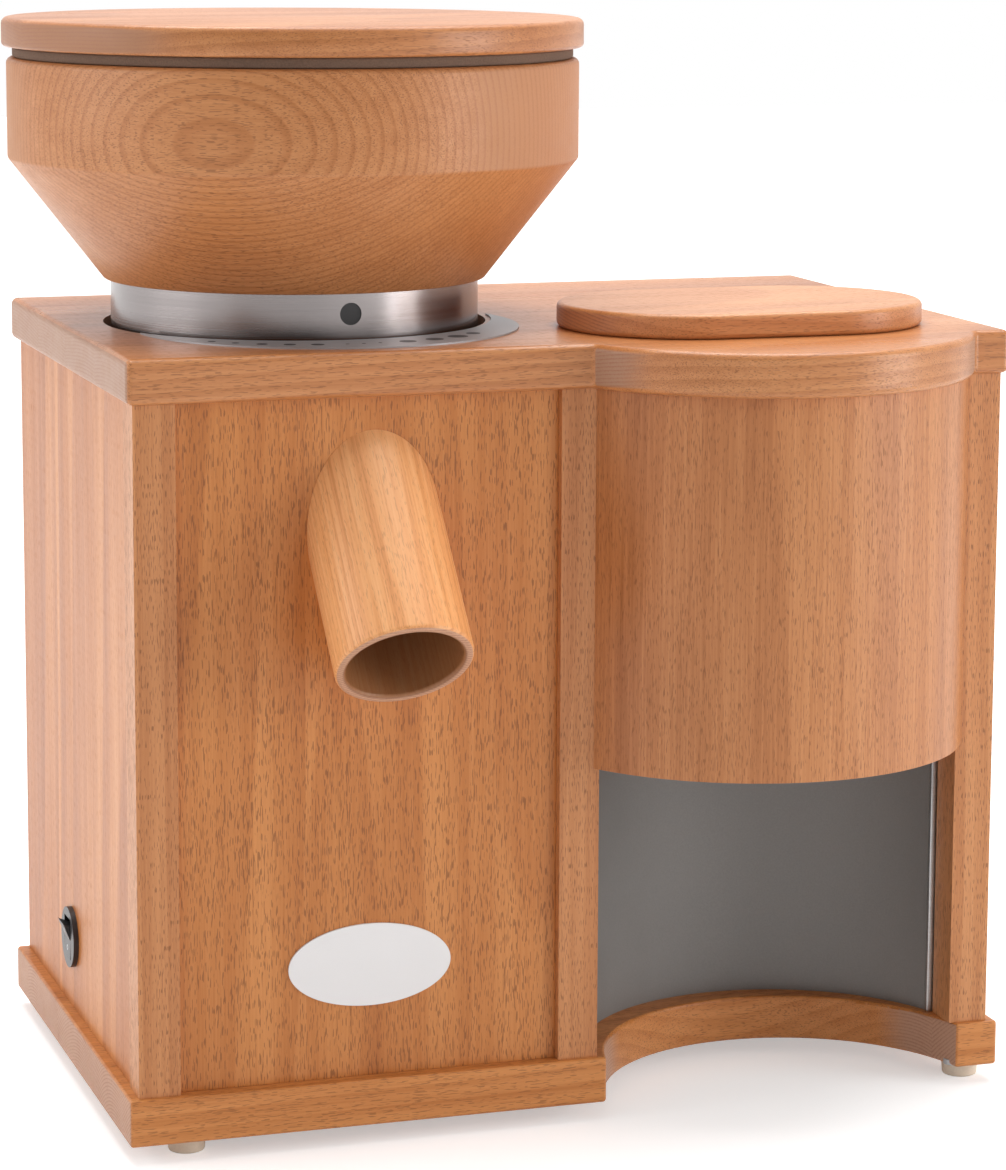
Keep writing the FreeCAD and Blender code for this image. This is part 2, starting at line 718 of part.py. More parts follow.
front_slab = box_item("front_slab", panel_left_x, panel_face, base_top, mid_post_x, panel_back, wall_top)
front_hole = spout_rod("front_hole", spout_radius, spout_back + spout_long)
finish_item(cut("front_cut", front_slab, front_hole), "panel_front")

tube = doc.addObject("PartDesign::Body", "spout_tube")
spout_whole = spout_back + spout_long
revolve(tube, [(spout_bore, 0), (spout_radius, 0), (spout_radius, spout_whole), (spout_bore, spout_whole)])
round_edges(tube, mouth_round, lambda edge: ring_at(spout_radius, spout_whole)(edge)
            or ring_at(spout_bore, spout_whole)(edge))
bind(tube, "Placement.Base.x", spout_x)
bind(tube, "Placement.Base.y", spout_start_y)
bind(tube, "Placement.Base.z", spout_start_z)
bind(tube, "Placement.Rotation.Angle", tilt)
bind(tube, "Placement.Rotation.Axis.x", 1)
bind(tube, "Placement.Rotation.Axis.z", 0)
spout_room = box_item("spout_room", spout_x - 2 * spout_radius, panel_back - 3 * spout_long, base_top,
                      spout_x + 2 * spout_radius, panel_back, table_top)
finish_item(common("spout_trimmed", [tube, spout_room]), "spout")

# Curved wood cover of the flaker, its corner battens and the ceiling behind it
cover_outer = rod_item("cover_outer", bay_x, cover_y, cover_bottom, cover_radius, wall_top - cover_bottom)
cover_inner = rod_item("cover_inner", bay_x, cover_y, cover_bottom - spare, cover_radius - cover_thick,
                       wall_top - cover_bottom + 2 * spare)
cover_room = box_item("cover_room", bay_x - cover_radius, -2 * cover_deep, cover_bottom,
                      bay_x + cover_radius, inset, wall_top)
cover_ring = cut("cover_ring", cover_outer, cover_inner)
finish_item(common("cover_trimmed", [cover_ring, cover_room]), "curved_cover")

batten_low = cover_bottom + ceiling_rise + ceiling_thick
group("cover_battens", [
    board(name, x, inset, batten_low, x + batten, post_back, wall_top, grouped=True)
    for name, x in (("batten_left", mid_post_right), ("batten_right", bay_right - batten))
])

ceiling_z = cover_bottom + ceiling_rise
ceiling = new_body("bay_ceiling")
sketch = new_sketch(ceiling, "XY_Plane", ceiling_z)
draw_circle(sketch, bay_x, cover_y, cover_radius - cover_thick - running)
pad(ceiling, sketch, ceiling_thick)
sketch = new_sketch(ceiling, "XY_Plane", ceiling_z)
draw_box(sketch, 0, inset, mid_post_right, depth)
draw_box(sketch, bay_right, inset, width, depth)
pocket(ceiling, sketch)
sketch = new_sketch(ceiling, "XY_Plane", ceiling_z)
draw_box(sketch, 0, flap_y + ceiling_back, width, depth)
pocket(ceiling, sketch)

# Bent sheet behind the bowl
shield_high = ceiling_z - base_top
shield_outer = rod_item("shield_outer", bay_x, shield_y, base_top, shield_radius + sheet_steel, shield_high)
shield_inner = rod_item("shield_inner", bay_x, shield_y, base_top - spare, shield_radius,
                        shield_high + 2 * spare)
shield_room = box_item("shield_room", bay_x - shield_radius, shield_front, base_top,
                       bay_x + shield_radius, shield_front + 2 * shield_deep, ceiling_z)
shield_ring = cut("shield_ring", shield_outer, shield_inner)
finish_item(common("shield_trimmed", [shield_ring, shield_room]), "bay_shield")

# Rubber feet with pegs in the base board
feet = []
for i, (x, y) in enumerate(foot_spots):
    pad_item = rod_item(f"foot_pad_{i}", x, y, as_size(0), foot_radius, foot_height)
    peg = rod_item(f"foot_peg_{i}", x, y, as_size(0), peg_radius, foot_height + base_thick * half)
    feet.append(fuse(f"foot_{i}", [pad_item, peg]))
group("feet", feet)


def turned(name, corners, x=hopper_x, y=hopper_y, grouped=False):
    """A piece turned about an upright axis, from an outline of radius and height."""
    body = new_body(name, x, y, grouped=grouped)
    revolve(body, corners)
    return body


# Hopper: wooden bowl on a steel collar that turns in the mount plate
bowl = turned("hopper_bowl", [
    (bowl_throat, bowl_bottom),
    (bowl_foot, bowl_bottom),
    (bowl_radius, bowl_shoulder),
    (bowl_radius, bowl_top),
    (bowl_radius - bowl_wall, bowl_top),
    (bowl_radius - bowl_wall, bowl_shoulder + bowl_wall * half),
    (bowl_throat, bowl_bottom + bowl_floor),
])
round_edges(bowl, edge_round, lambda edge: ring_at(bowl_foot, bowl_bottom)(edge)
            or ring_at(bowl_radius, bowl_top)(edge) or ring_at(bowl_radius, bowl_shoulder)(edge))
flange_in = key_circle + key_radius + 1
bowl_screw_circle = (flange_in + collar_radius - collar_wall) * half


def cross_spots(radius):
    """Four places round the hopper axis, between the X and Y directions."""
    turns = [45 + 90 * i for i in range(4)]
    return [(hopper_x + radius * cosine(turn), hopper_y + radius * sine(turn)) for turn in turns]


collar_spots = cross_spots(bowl_screw_circle)

collar = turned("hopper_collar", [
    (spigot_radius - spigot_wall, mount_under - spigot_drop),
    (spigot_radius, mount_under - spigot_drop),
    (spigot_radius, collar_foot),
    (collar_radius, collar_foot),
    (collar_radius, collar_top),
    (flange_in, collar_top),
    (flange_in, collar_top - collar_flange),
    (collar_radius - collar_wall, collar_top - collar_flange),
    (collar_radius - collar_wall, collar_foot + collar_wall),
    (spigot_radius - spigot_wall, collar_foot + collar_wall),
])
clip_high = mount_under - fit
clip_low = clip_high - clip_thick
revolve(collar, [
    (spigot_radius - clip_deep, clip_low),
    (spigot_radius + spare, clip_low),
    (spigot_radius + spare, clip_high),
    (spigot_radius - clip_deep, clip_high),
], cut=True)
sketch = new_sketch(collar, "XZ_Plane")
bind(sketch, "AttachmentOffset.Rotation.Angle", dot_turn)
bind(sketch, "AttachmentOffset.Rotation.Axis.y", 1)
bind(sketch, "AttachmentOffset.Rotation.Axis.z", 0)
draw_circle(sketch, 0, table_top + dot_rise, dot_radius)
pocket(collar, sketch, collar_radius + spare, reverse=True)
sketch = new_sketch(collar, "XY_Plane", collar_top)
for x, y in collar_spots:
    draw_circle(sketch, x - hopper_x, y - hopper_y, screw_radius)
pocket(collar, sketch, collar_flange)
sketch = new_sketch(bowl, "XY_Plane", bowl_bottom)
for x, y in collar_spots:
    draw_circle(sketch, x - hopper_x, y - hopper_y, screw_radius)
pocket(bowl, sketch, bowl_screw_long, reverse=True)

turned("collar_clip", [
    (spigot_radius - clip_deep, clip_low),
    (spigot_radius + clip_thick, clip_low),
    (spigot_radius + clip_thick, clip_high),
    (spigot_radius - clip_deep, clip_high),
])
plug = new_body("pointer_plug", hopper_x, hopper_y)
sketch = new_sketch(plug, "XZ_Plane", collar_radius - collar_wall)
draw_circle(sketch, 0, table_top + dot_rise, dot_radius)
pad(plug, sketch, collar_wall - dot_sunk)
bind(plug, "Placement.Rotation.Angle", dot_turn)
turned("collar_slide_ring", [
    (spigot_radius + gap, wall_top),
    (hole_radius - gap, wall_top),
    (hole_radius - gap, collar_foot - fit),
    (spigot_radius + gap, collar_foot - fit),
])

lid = turned("hopper_lid", [
    (0, lid_under - lid_plug),
    (seal_radius - seal_wide, lid_under - lid_plug),
    (seal_radius - seal_wide, lid_under),
    (lid_radius, lid_under),
    (lid_radius, lid_top),
    (0, lid_top),
])
round_edges(lid, edge_round, lambda edge: ring_at(lid_radius, lid_under)(edge)
            or ring_at(lid_radius, lid_top)(edge))
turned("lid_seal", [
    (seal_radius - seal_wide, bowl_top + fit),
    (seal_radius, bowl_top + fit),
    (seal_radius, lid_under),
    (seal_radius - seal_wide, lid_under),
])

# Upper stone in a carrier that the collar's thread lifts and three guide pins keep from turning
carrier_low = mount_under - 1
carrier_top = carrier_low + carrier_high
carrier_out = spigot_radius - spigot_wall - running
upper_low = carrier_low - stone_thick
lower_top = upper_low - stone_gap
lower_low = lower_top - stone_thick
plate_low = lower_low - carrier_plate
carrier = turned("stone_carrier", [
    (stone_eye, carrier_low),
    (carrier_out, carrier_low),
    (carrier_out, carrier_top),
    (carrier_out - carrier_wall, carrier_top),
    (stone_eye, carrier_low + carrier_floor),
])
sketch = new_sketch(carrier, "XY_Plane", carrier_low)
for step in range(3):
    turn = 90 + 120 * step
    draw_circle(sketch, key_circle * cosine(turn), key_circle * sine(turn), key_radius + running)
pocket(carrier, sketch, carrier_high, reverse=True)
turned("upper_stone", [
    (stone_eye, upper_low + stone_dish),
    (stone_eye + dish_wide, upper_low),
    (stone_radius, upper_low),
    (stone_radius, carrier_low),
    (stone_eye, carrier_low),
])
turned("lower_stone", [
    (shaft_radius, lower_low),
    (stone_radius, lower_low),
    (stone_radius, lower_top),
    (stone_eye + dish_wide, lower_top),
    (nut_corner + gap, lower_top - stone_dish),
    (shaft_radius, lower_top - stone_dish),
])
turned("stone_plate", [
    (shaft_radius, plate_low),
    (stone_radius - carrier_plate, plate_low),
    (stone_radius - carrier_plate, lower_low),
    (shaft_radius, lower_low),
])

# Fixed parts below the top board: mount plate, milling chamber, flour outlet
mount_right = divider_left - gap
mount_front = post_back + gap
mount_back = rear_inner - post - gap
mount = new_body("mount_plate")
sketch = new_sketch(mount, "XY_Plane", mount_under)
draw_box(sketch, mount_edge, mount_front, mount_right, mount_back)
pad(mount, sketch, mount_thick)
sketch = new_sketch(mount, "XY_Plane", mount_under)
draw_circle(sketch, hopper_x, hopper_y, spigot_radius + running)
mount_spots = [(x, y) for x in (mount_edge + screw_edge, mount_right - screw_edge)
               for y in (mount_front + screw_edge, mount_back - screw_edge)]
for x, y in mount_spots:
    draw_circle(sketch, x, y, screw_radius)
pocket(mount, sketch)
sketch = new_sketch(top, "XY_Plane", wall_top)
for x, y in mount_spots:
    draw_circle(sketch, x, y, screw_radius)
pocket(top, sketch, screw_long, reverse=True)

motor_spots = cross_spots(motor_bolts)
shaft_hole = shaft_radius + fan_clear
chamber = doc.addObject("PartDesign::Body", "chamber_casting")
revolve(chamber, [
    (shaft_hole, chamber_bottom),
    (chamber_outer, chamber_bottom),
    (chamber_outer, mount_under),
    (chamber_inner, mount_under),
    (chamber_inner, chamber_inside),
    (shaft_hole, chamber_inside),
])
sketch = new_sketch(chamber, "XY_Plane", chamber_bottom)
for step in range(3):
    turn = 90 + 120 * step
    draw_circle(sketch, key_circle * cosine(turn), key_circle * sine(turn), key_radius)
for x, y in motor_spots:
    draw_circle(sketch, x - hopper_x, y - hopper_y, screw_radius)
pocket(chamber, sketch)
bind(chamber, "Placement.Base.x", hopper_x)
bind(chamber, "Placement.Base.y", hopper_y)
outlet_bore = spout_rod("outlet_bore", spout_bore, spout_back + spout_long)
finish_item(cut("chamber_cut", chamber, outlet_bore), "milling_chamber")

outlet_low = spout_z - 45
outlet_block = box_item("outlet_block", spout_x - spout_radius, panel_back, outlet_low,
                        spout_x + spout_radius, hopper_y - stone_radius * half, mount_under - gap)
outlet_core = rod_item("outlet_core", hopper_x, hopper_y, outlet_low - spare, chamber_outer,
                       mount_under - outlet_low + 2 * spare)
outlet_tunnel = spout_rod("outlet_tunnel", spout_bore, spout_back + spout_long)
outlet_lid = box_item("outlet_lid", spout_x - spout_radius, 0, mount_under - chamber_wall,
                      spout_x + spout_radius, hopper_y, mount_under + spout_radius)
tunnel_low = cut("outlet_tunnel_low", outlet_tunnel, outlet_lid)
outlet_shape = cut("outlet_shape", cut("outlet_seat", outlet_block, outlet_core), tunnel_low)
finish_item(outlet_shape, "flour_outlet")

pins = []
for step in range(3):
    turn = 90 + 120 * step
    pins.append(rod_item(f"guide_pin_{step}", hopper_x + key_circle * cosine(turn),
                         hopper_y + key_circle * sine(turn), chamber_bottom, key_radius,
                         carrier_low + key_long - chamber_bottom))
group("guide_pins", pins)

# Motor below the chamber
motor_top = chamber_bottom - shield_plate
motor_bottom = motor_top - motor_long
motor_middle = (motor_top + motor_bottom) * half
turned("motor_casing", [
    (motor_radius - motor_wall, motor_bottom),
    (motor_radius, motor_bottom),
    (motor_radius, motor_top),
    (motor_radius - motor_wall, motor_top),
])
upper_shield = turned("motor_shield_upper", [
    (bearing_radius - bearing_seat, motor_top),
    (bearing_radius - bearing_seat, chamber_bottom),
    (motor_radius + shield_over, chamber_bottom),
    (motor_radius + shield_over, motor_top),
    (bearing_radius + bearing_seat, motor_top),
    (bearing_radius + bearing_seat, motor_top - bearing_wide),
    (bearing_radius, motor_top - bearing_wide),
    (bearing_radius, motor_top),
], grouped=True)
sketch = new_sketch(upper_shield, "XY_Plane", motor_top)
for x, y in motor_spots:
    draw_circle(sketch, x - hopper_x, y - hopper_y, screw_radius)
pocket(upper_shield, sketch)
lower_shield = turned("motor_shield_lower", [
    (bearing_radius - bearing_seat, motor_bottom - shield_plate),
    (motor_radius + shield_over, motor_bottom - shield_plate),
    (motor_radius + shield_over, motor_bottom),
    (bearing_radius + bearing_seat, motor_bottom),
    (bearing_radius + bearing_seat, motor_bottom + bearing_wide),
    (bearing_radius, motor_bottom + bearing_wide),
    (bearing_radius, motor_bottom),
    (bearing_radius - bearing_seat, motor_bottom),
], grouped=True)
group("motor_shields", [upper_shield, lower_shield])


def ring_piece(name, inner, outer, low, high, grouped=False):
    return turned(name, [(inner, low), (outer, low), (outer, high), (inner, high)], grouped=grouped)


bearing_bore = shaft_radius + running
group("motor_bearings", [
    ring_piece(name, bearing_bore, bearing_radius, low, low + bearing_wide, grouped=True)
    for name, low in (("bearing_upper", motor_top - bearing_wide), ("bearing_lower", motor_bottom))
])
core_low = motor_middle - core_long * half
core_high = motor_middle + core_long * half
ring_piece("stator_core", rotor_radius + air_gap, motor_radius - motor_wall, core_low, core_high)
windings = []
for i, low in enumerate((core_low - winding_high, core_high)):
    outer = rod_item(f"winding_outer_{i}", hopper_x, hopper_y, low,
                     motor_radius - motor_wall - winding_clear, winding_high)
    inner = rod_item(f"winding_inner_{i}", hopper_x, hopper_y, low - spare,
                     rotor_radius + winding_clear, winding_high + 2 * spare)
    windings.append(cut(f"winding_{i}", outer, inner))
group("stator_windings", windings)
ring_piece("rotor_core", shaft_radius, rotor_radius, core_low, core_high)

fan_low = motor_bottom - shield_plate - fan_clear - fan_high
nut_seat = lower_top - stone_dish
thread_radius = shaft_radius - 2
shaft_top = lower_top + shaft_end
turned("motor_shaft", [
    (0, fan_low - fan_sheet),
    (shaft_radius, fan_low - fan_sheet),
    (shaft_radius, nut_seat),
    (thread_radius, nut_seat),
    (thread_radius, shaft_top),
    (0, shaft_top),
])
nut = new_body("stone_nut", hopper_x, hopper_y)
sketch = new_sketch(nut, "XY_Plane", nut_seat)
draw_outline(sketch, [(nut_corner * cosine(60 * step), nut_corner * sine(60 * step)) for step in range(6)])
draw_circle(sketch, 0, 0, thread_radius)
pad(nut, sketch, nut_high)

fan = turned("motor_fan", [
    (shaft_radius, fan_low),
    (fan_radius, fan_low + fan_high - fan_sheet),
    (fan_radius, fan_low + fan_high),
    (shaft_radius, fan_low + fan_high),
])
sketch = new_sketch(fan, "XY_Plane", fan_low)
draw_box(sketch, shaft_radius + fan_sheet, -fan_sheet * half, fan_radius - fan_sheet, fan_sheet * half)
blade = pad(fan, sketch, fan_high - fan_sheet * half)
pattern = fan.newObject("PartDesign::PolarPattern", "fan_blade_ring")
pattern.Originals = [blade]
pattern.Axis = (sketch, ["N_Axis"])
pattern.Angle = 360
bind(pattern, "Occurrences", fan_blades)
fan.Tip = pattern
doc.recompute()

# Badge and scale plate, both without lettering
badge_face = primitive("Part::Ellipse", "badge_outline", MajorRadius=badge_long * half,
                       MinorRadius=badge_high * half, x=(panel_left_x + mid_post_x) * half,
                       y=panel_face, z=badge_z, turn=((1, 0, 0), 90))
badge = doc.addObject("Part::Extrusion", "badge_blank")
badge.Base = badge_face
badge.DirMode = "Custom"
badge.Dir = FreeCAD.Vector(0, -1, 0)
badge.Solid = True
bind(badge, "LengthFwd", badge_thick)
finish_item(badge, "badge_plate")

scale = new_body("scale_plate")
sketch = new_sketch(scale, "XY_Plane", table_top)
draw_circle(sketch, hopper_x + scale_shift_x, hopper_y - scale_shift_y, scale_radius)
pad(scale, sketch, scale_thick)
sketch = new_sketch(scale, "XY_Plane", table_top)
draw_circle(sketch, hopper_x, hopper_y, hole_radius + scale_clear)
pocket(scale, sketch)

# Round rocker switch in the left side panel
barrel_long = panel + 12
terminal_half = 2
terminal_thick = 0.8
terminal_pitch = 5
window_deep = bezel_thick * 4
bezel_x = switch_face - bezel_thick
flange = rod_item("bezel_flange", bezel_x, switch_y, switch_z, switch_radius, bezel_thick, ((0, 1, 0), 90))
barrel = rod_item("bezel_barrel", bezel_x, switch_y, switch_z, switch_hole, barrel_long, ((0, 1, 0), 90))
window_y = rocker_wide * half + gap
window_z = rocker_high * half + gap
window = box_item("bezel_window", bezel_x - spare, switch_y - window_y, switch_z - window_z,
                  bezel_x + window_deep, switch_y + window_y, switch_z + window_z)
pivot_x = bezel_x + 1.1 * bezel_thick
pin_reach = rocker_wide * half + 1.6 * pin_radius
pin_hole = rod_item("bezel_pin_hole", pivot_x, switch_y + pin_reach + gap, switch_z,
                    pin_radius + running, 2 * (pin_reach + gap), ((1, 0, 0), 90))
barrel_end = bezel_x + barrel_long
terminals = [box_item(f"terminal_{i}", barrel_end - 1, switch_y + offset - terminal_half,
                      switch_z - terminal_thick * half, barrel_end + window_deep,
                      switch_y + offset + terminal_half, switch_z + terminal_thick * half)
             for i, offset in enumerate((-terminal_pitch, 0, terminal_pitch))]
switch_whole = fuse("bezel_whole", [flange, barrel] + terminals)
finish_item(cut("bezel_cut", cut("bezel_open", switch_whole, window), pin_hole), "switch_bezel")
rocker_top = rocker_high * half - 0.4
rocker_front = 3.6
rocker_valley = 2.2
rocker_rear = 3.2
rocker_foot = 3
rocker = doc.addObject("PartDesign::Body", "rocker_block")
sketch = new_sketch(rocker, "XZ_Plane", -(rocker_wide * half))
draw_outline(sketch, [
    (-rocker_front, -rocker_top),
    (rocker_rear, -rocker_foot),
    (rocker_rear, rocker_foot),
    (-rocker_front, rocker_top),
    (-rocker_valley, 0),
])
pad(rocker, sketch, rocker_wide)
rocker_pin = rod_item("rocker_pin", as_size(0), pin_reach, as_size(0), pin_radius, 2 * pin_reach,
                      ((1, 0, 0), 90))
rocker_whole = fuse("rocker_whole", [rocker, rocker_pin])
rocker_whole.Label = "switch_rocker"
place(rocker_whole, pivot_x, switch_y, switch_z)
bind(rocker_whole, "Placement.Rotation.Angle", -rocker_tilt)
bind(rocker_whole, "Placement.Rotation.Axis.y", 1)
bind(rocker_whole, "Placement.Rotation.Axis.z", 0)
pieces.append(rocker_whole)

# Flaking mill: lid, funnel, two rollers in a frame, gears, gearbox and motor
flap = new_body("flaker_lid")
sketch = new_sketch(flap, "XY_Plane", table_top)
draw_ring_slot(sketch, flap_x, flap_y, flap_long, flap_deep)
pad(flap, sketch, flap_thick)
round_edges(flap, edge_round * 0.8, lambda edge: edge.BoundBox.ZMax - edge.BoundBox.ZMin < 0.01)
sketch = new_sketch(flap, "XY_Plane", table_top)
draw_ring_slot(sketch, flap_x, flap_y, chute_long - 2 * plug_play, chute_deep - 2 * plug_play)
pad(flap, sketch, flap_plug, reverse=True)

funnel_low = roller_z + roller_radius + gap * 2
frame_low = roller_z - frame_drop
guide_low = ceiling_z + gap


def tapered(name, x, y, low, high, low_half, high_half, kind):
    """Loft between a small box below and a larger one above, as a solid or as a hollow."""
    body = doc.getObject(name)
    sections = []
    for z, (dx, dy) in ((high, high_half), (low, low_half)):
        sketch = new_sketch(body, "XY_Plane", z)
        draw_box(sketch, x - dx, y - dy, x + dx, y + dy)
        sections.append(sketch)
    feature = body.newObject(f"PartDesign::{kind}Loft", f"{name}_{kind}")
    feature.Profile = sections[0]
    feature.Sections = [sections[1]]
    doc.recompute()


half_long = chute_long * half
half_deep = chute_deep * half
half_throat = funnel_throat * half
new_body("flaker_funnel")
tapered("flaker_funnel", bay_x, flap_y, funnel_low, wall_top, (half_throat, half_deep),
        (half_long + funnel_wall, half_deep + funnel_wall), "Additive")
tapered("flaker_funnel", bay_x, flap_y, funnel_low, wall_top,
        (half_throat - funnel_wall, half_deep - funnel_wall), (half_long, half_deep), "Subtractive")

frame_spots = [(bay_x - roller_pitch * half), (bay_x + roller_pitch * half)]
frame_half = roller_pitch * half + roller_radius + frame_edge
frames = []
for name, y in (("roller_frame_front", frame_front), ("roller_frame_rear", frame_rear)):
    plate = new_body(name, grouped=True)
    frames.append(plate)
    sketch = new_sketch(plate, "XZ_Plane", -(y + frame_plate))
    draw_box(sketch, bay_x - frame_half, frame_low, bay_x + frame_half, wall_top)
    pad(plate, sketch, frame_plate)
    sketch = new_sketch(plate, "XZ_Plane", -(y + frame_plate))
    for x in frame_spots:
        draw_circle(sketch, x, roller_z, bush_radius)
    pocket(plate, sketch)
group("roller_frame", frames)

guide_half = frame_half - funnel_wall
guide_deep = (roller_long + 2 * frame_plate) * half
guide_in = guide_mouth * half
guide_out = guide_in + funnel_wall
new_body("flake_guide")
tapered("flake_guide", bay_x, flap_y, guide_low, frame_low, (guide_out, guide_out),
        (guide_half, guide_deep), "Additive")
tapered("flake_guide", bay_x, flap_y, guide_low, frame_low, (guide_in, guide_in),
        (guide_half - funnel_wall, guide_deep - funnel_wall), "Subtractive")
slope = (guide_half - guide_out) / (frame_low - guide_low)
guide_room = guide_out + slope * ceiling_thick + gap
sketch = new_sketch(ceiling, "XY_Plane", ceiling_z)
draw_box(sketch, bay_x - guide_room, flap_y - guide_room, bay_x + guide_room, flap_y + guide_room)
pocket(ceiling, sketch)


def lying(name, corners, x, y, z=roller_z, grouped=False):
    """A turned piece whose axis runs back along Y."""
    body = new_body(name, x, y, z, grouped)
    bind(body, "Placement.Rotation.Angle", -90)
    bind(body, "Placement.Rotation.Axis.x", 1)
    bind(body, "Placement.Rotation.Axis.z", 0)
    revolve(body, corners)
    return body


def spur_gear(name, x, y, start):
    """A spur gear about a lying shaft, its first tooth at the start angle."""
    gear = lying(name, [
        (roller_shaft, 0),
        (root_radius, 0),
        (root_radius, gear_wide),
        (roller_shaft, gear_wide),
    ], x, y)
    sketch = new_sketch(gear, "XY_Plane")
    inside = root_radius - tip_half
    corners = ((inside, -foot_half), (tip_radius, -tip_half), (tip_radius, tip_half), (inside, foot_half))
    draw_outline(sketch, [
        (radius * cosine(start) - side * sine(start), radius * sine(start) + side * cosine(start))
        for radius, side in corners
    ])
    tooth = pad(gear, sketch, gear_wide)
    ring = gear.newObject("PartDesign::PolarPattern", f"{name}_teeth")
    ring.Originals = [tooth]
    ring.Axis = (sketch, ["N_Axis"])
    ring.Angle = 360
    bind(ring, "Occurrences", gear_teeth)
    gear.Tip = ring
    doc.recompute()
    return gear


module = roller_pitch / gear_teeth
root_radius = roller_pitch * half - 1.2 * module
tip_radius = roller_pitch * half + 0.85 * module
tip_half = 0.3 * module
foot_half = 0.95 * module
gear_y = frame_rear + frame_plate + 3 * gap
shaft_front = frame_front + gap
drive_end = gear_y + gear_wide + gearbox_long * half
bushes = []
for name, x, end, start in (("idle", frame_spots[0], gear_y + gear_wide, as_size(0)),
                            ("drive", frame_spots[1], drive_end, 180 + 180 / gear_teeth)):
    first = frame_front + frame_plate + gap - shaft_front
    last = frame_rear - gap - shaft_front
    lying(f"{name}_roller", [
        (0, 0),
        (roller_shaft, 0),
        (roller_shaft, first),
        (roller_radius, first),
        (roller_radius, last),
        (roller_shaft, last),
        (roller_shaft, end - shaft_front),
        (0, end - shaft_front),
    ], x, shaft_front)
    spur_gear(f"{name}_gear", x, gear_y, start)
    for place_name, y in (("front", frame_front), ("rear", frame_rear)):
        bushes.append(lying(f"{name}_bush_{place_name}", [
            (roller_shaft + running, 0),
            (bush_radius, 0),
            (bush_radius, frame_plate),
            (roller_shaft + running, frame_plate),
        ], x, y, grouped=True))
group("roller_bushes", bushes)

case_back = gear_y + gear_wide + gap + case_wall
case_half = frame_half - gap
case_front = frame_rear + frame_plate
case_outer = box_item("case_outer", bay_x - case_half, case_front, roller_z - case_high,
                      bay_x + case_half, case_back, roller_z + case_high)
case_inner = box_item("case_inner", bay_x - case_half + case_wall, case_front - spare,
                      roller_z - case_high + case_wall, bay_x + case_half - case_wall,
                      case_back - case_wall, roller_z + case_high - case_wall)
case_hole = rod_item("case_hole", frame_spots[1], case_back + spare, roller_z, roller_shaft + gap,
                     case_wall + 2 * spare, ((1, 0, 0), 90))
finish_item(cut("case_drilled", cut("case_open", case_outer, case_inner), case_hole), "gear_case")

socket_end = gearbox_long - shield_plate
lying("flaker_gearbox", [
    (roller_shaft + running, 0),
    (drive_radius + case_wall, 0),
    (drive_radius + case_wall, gearbox_long),
    (0, gearbox_long),
    (0, socket_end),
    (roller_shaft + running, socket_end),
], frame_spots[1], case_back)
lying("flaker_motor", [
    (0, 0),
    (drive_radius, 0),
    (drive_radius, drive_long - case_wall),
    (drive_radius - case_wall, drive_long),
    (0, drive_long),
], frame_spots[1], case_back + gearbox_long)

# Cable gland in the back panel; the lead itself is not part of the model
gland_face = body_back - recess
gland_high = panel + gland_nut_high
gland_end = gland_high + gland_head
gland_cap = gland_high + 3
gland_back = gland_face - gland_high
gland_body = lying("gland_body", [
    (gland_bore, 0),
    (gland_radius, 0),
    (gland_radius, gland_high),
    (gland_flange, gland_high),
    (gland_flange, gland_cap),
    (gland_radius, gland_end),
    (gland_bore, gland_end),
], gland_x, gland_back, gland_z, grouped=True)
gland_nut = lying("gland_nut", [
    (gland_radius, 0),
    (gland_flange, 0),
    (gland_flange, gland_nut_high),
    (gland_radius, gland_nut_high),
], gland_x, gland_back, gland_z, grouped=True)
group("cable_gland", [gland_body, gland_nut])

# Electrical box and capacitor on the base board
box_left = switch_face + panel + post + gap
box_back = rear_inner - gland_nut_high - gap
board("terminal_box", box_left, box_back - terminal_deep, base_top,
      box_left + terminal_long, box_back, base_top + terminal_high)
capacitor = new_body("run_capacitor", divider_left - capacitor_radius - gap, box_back - capacitor_radius)
capacitor_top = base_top + capacitor_high
revolve(capacitor, [
    (0, base_top),
    (capacitor_radius, base_top),
    (capacitor_radius, capacitor_top - capacitor_rim),
    (capacitor_radius - capacitor_rim, capacitor_top),
    (0, capacitor_top),
])


def screws_at(name, spots, z, length):
    """Upright screws with flat heads, pointing up from z, one solid each."""
    screws = []
    for i, (x, y) in enumerate(spots):
        head = rod_item(f"{name}_head_{i}", x, y, z - head_high, screw_head, head_high)
        stem = rod_item(f"{name}_stem_{i}", x, y, z, screw_radius, length)
        screws.append(fuse(f"{name}_{i}", [head, stem]))
    return screws


group("base_screws", screws_at("base_screw", post_holes, foot_height + head_high,
                               base_thick - 2 * head_high + screw_long))
mill_screw = shield_plate + chamber_floor
group("mill_screws", screws_at("mount_screw", mount_spots, mount_under, mill_screw)
      + screws_at("motor_screw", motor_spots, motor_top, mill_screw))
group("bowl_screws", screws_at("bowl_screw", collar_spots, collar_top - collar_flange, bowl_screw_long))

# Checks on the whole document, then one file for each piece
doc.recompute()
for item in doc.Objects:
    if "Invalid" in item.State or "Error" in item.State:
        raise ValueError(f"{item.Name} has failed: {item.State}")
for item in pieces:
    if item.Shape.isNull() or not item.Shape.isValid():
        raise ValueError(f"{item.Label} has no valid shape")

os.makedirs("parts", exist_ok=True)
for item in pieces:
    item.Shape.exportStep(os.path.join("parts", f"{item.Label}.step"))
print(len(pieces), "pieces written")
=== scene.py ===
import math

import bmesh
import bpy
from mathutils import Matrix, Vector


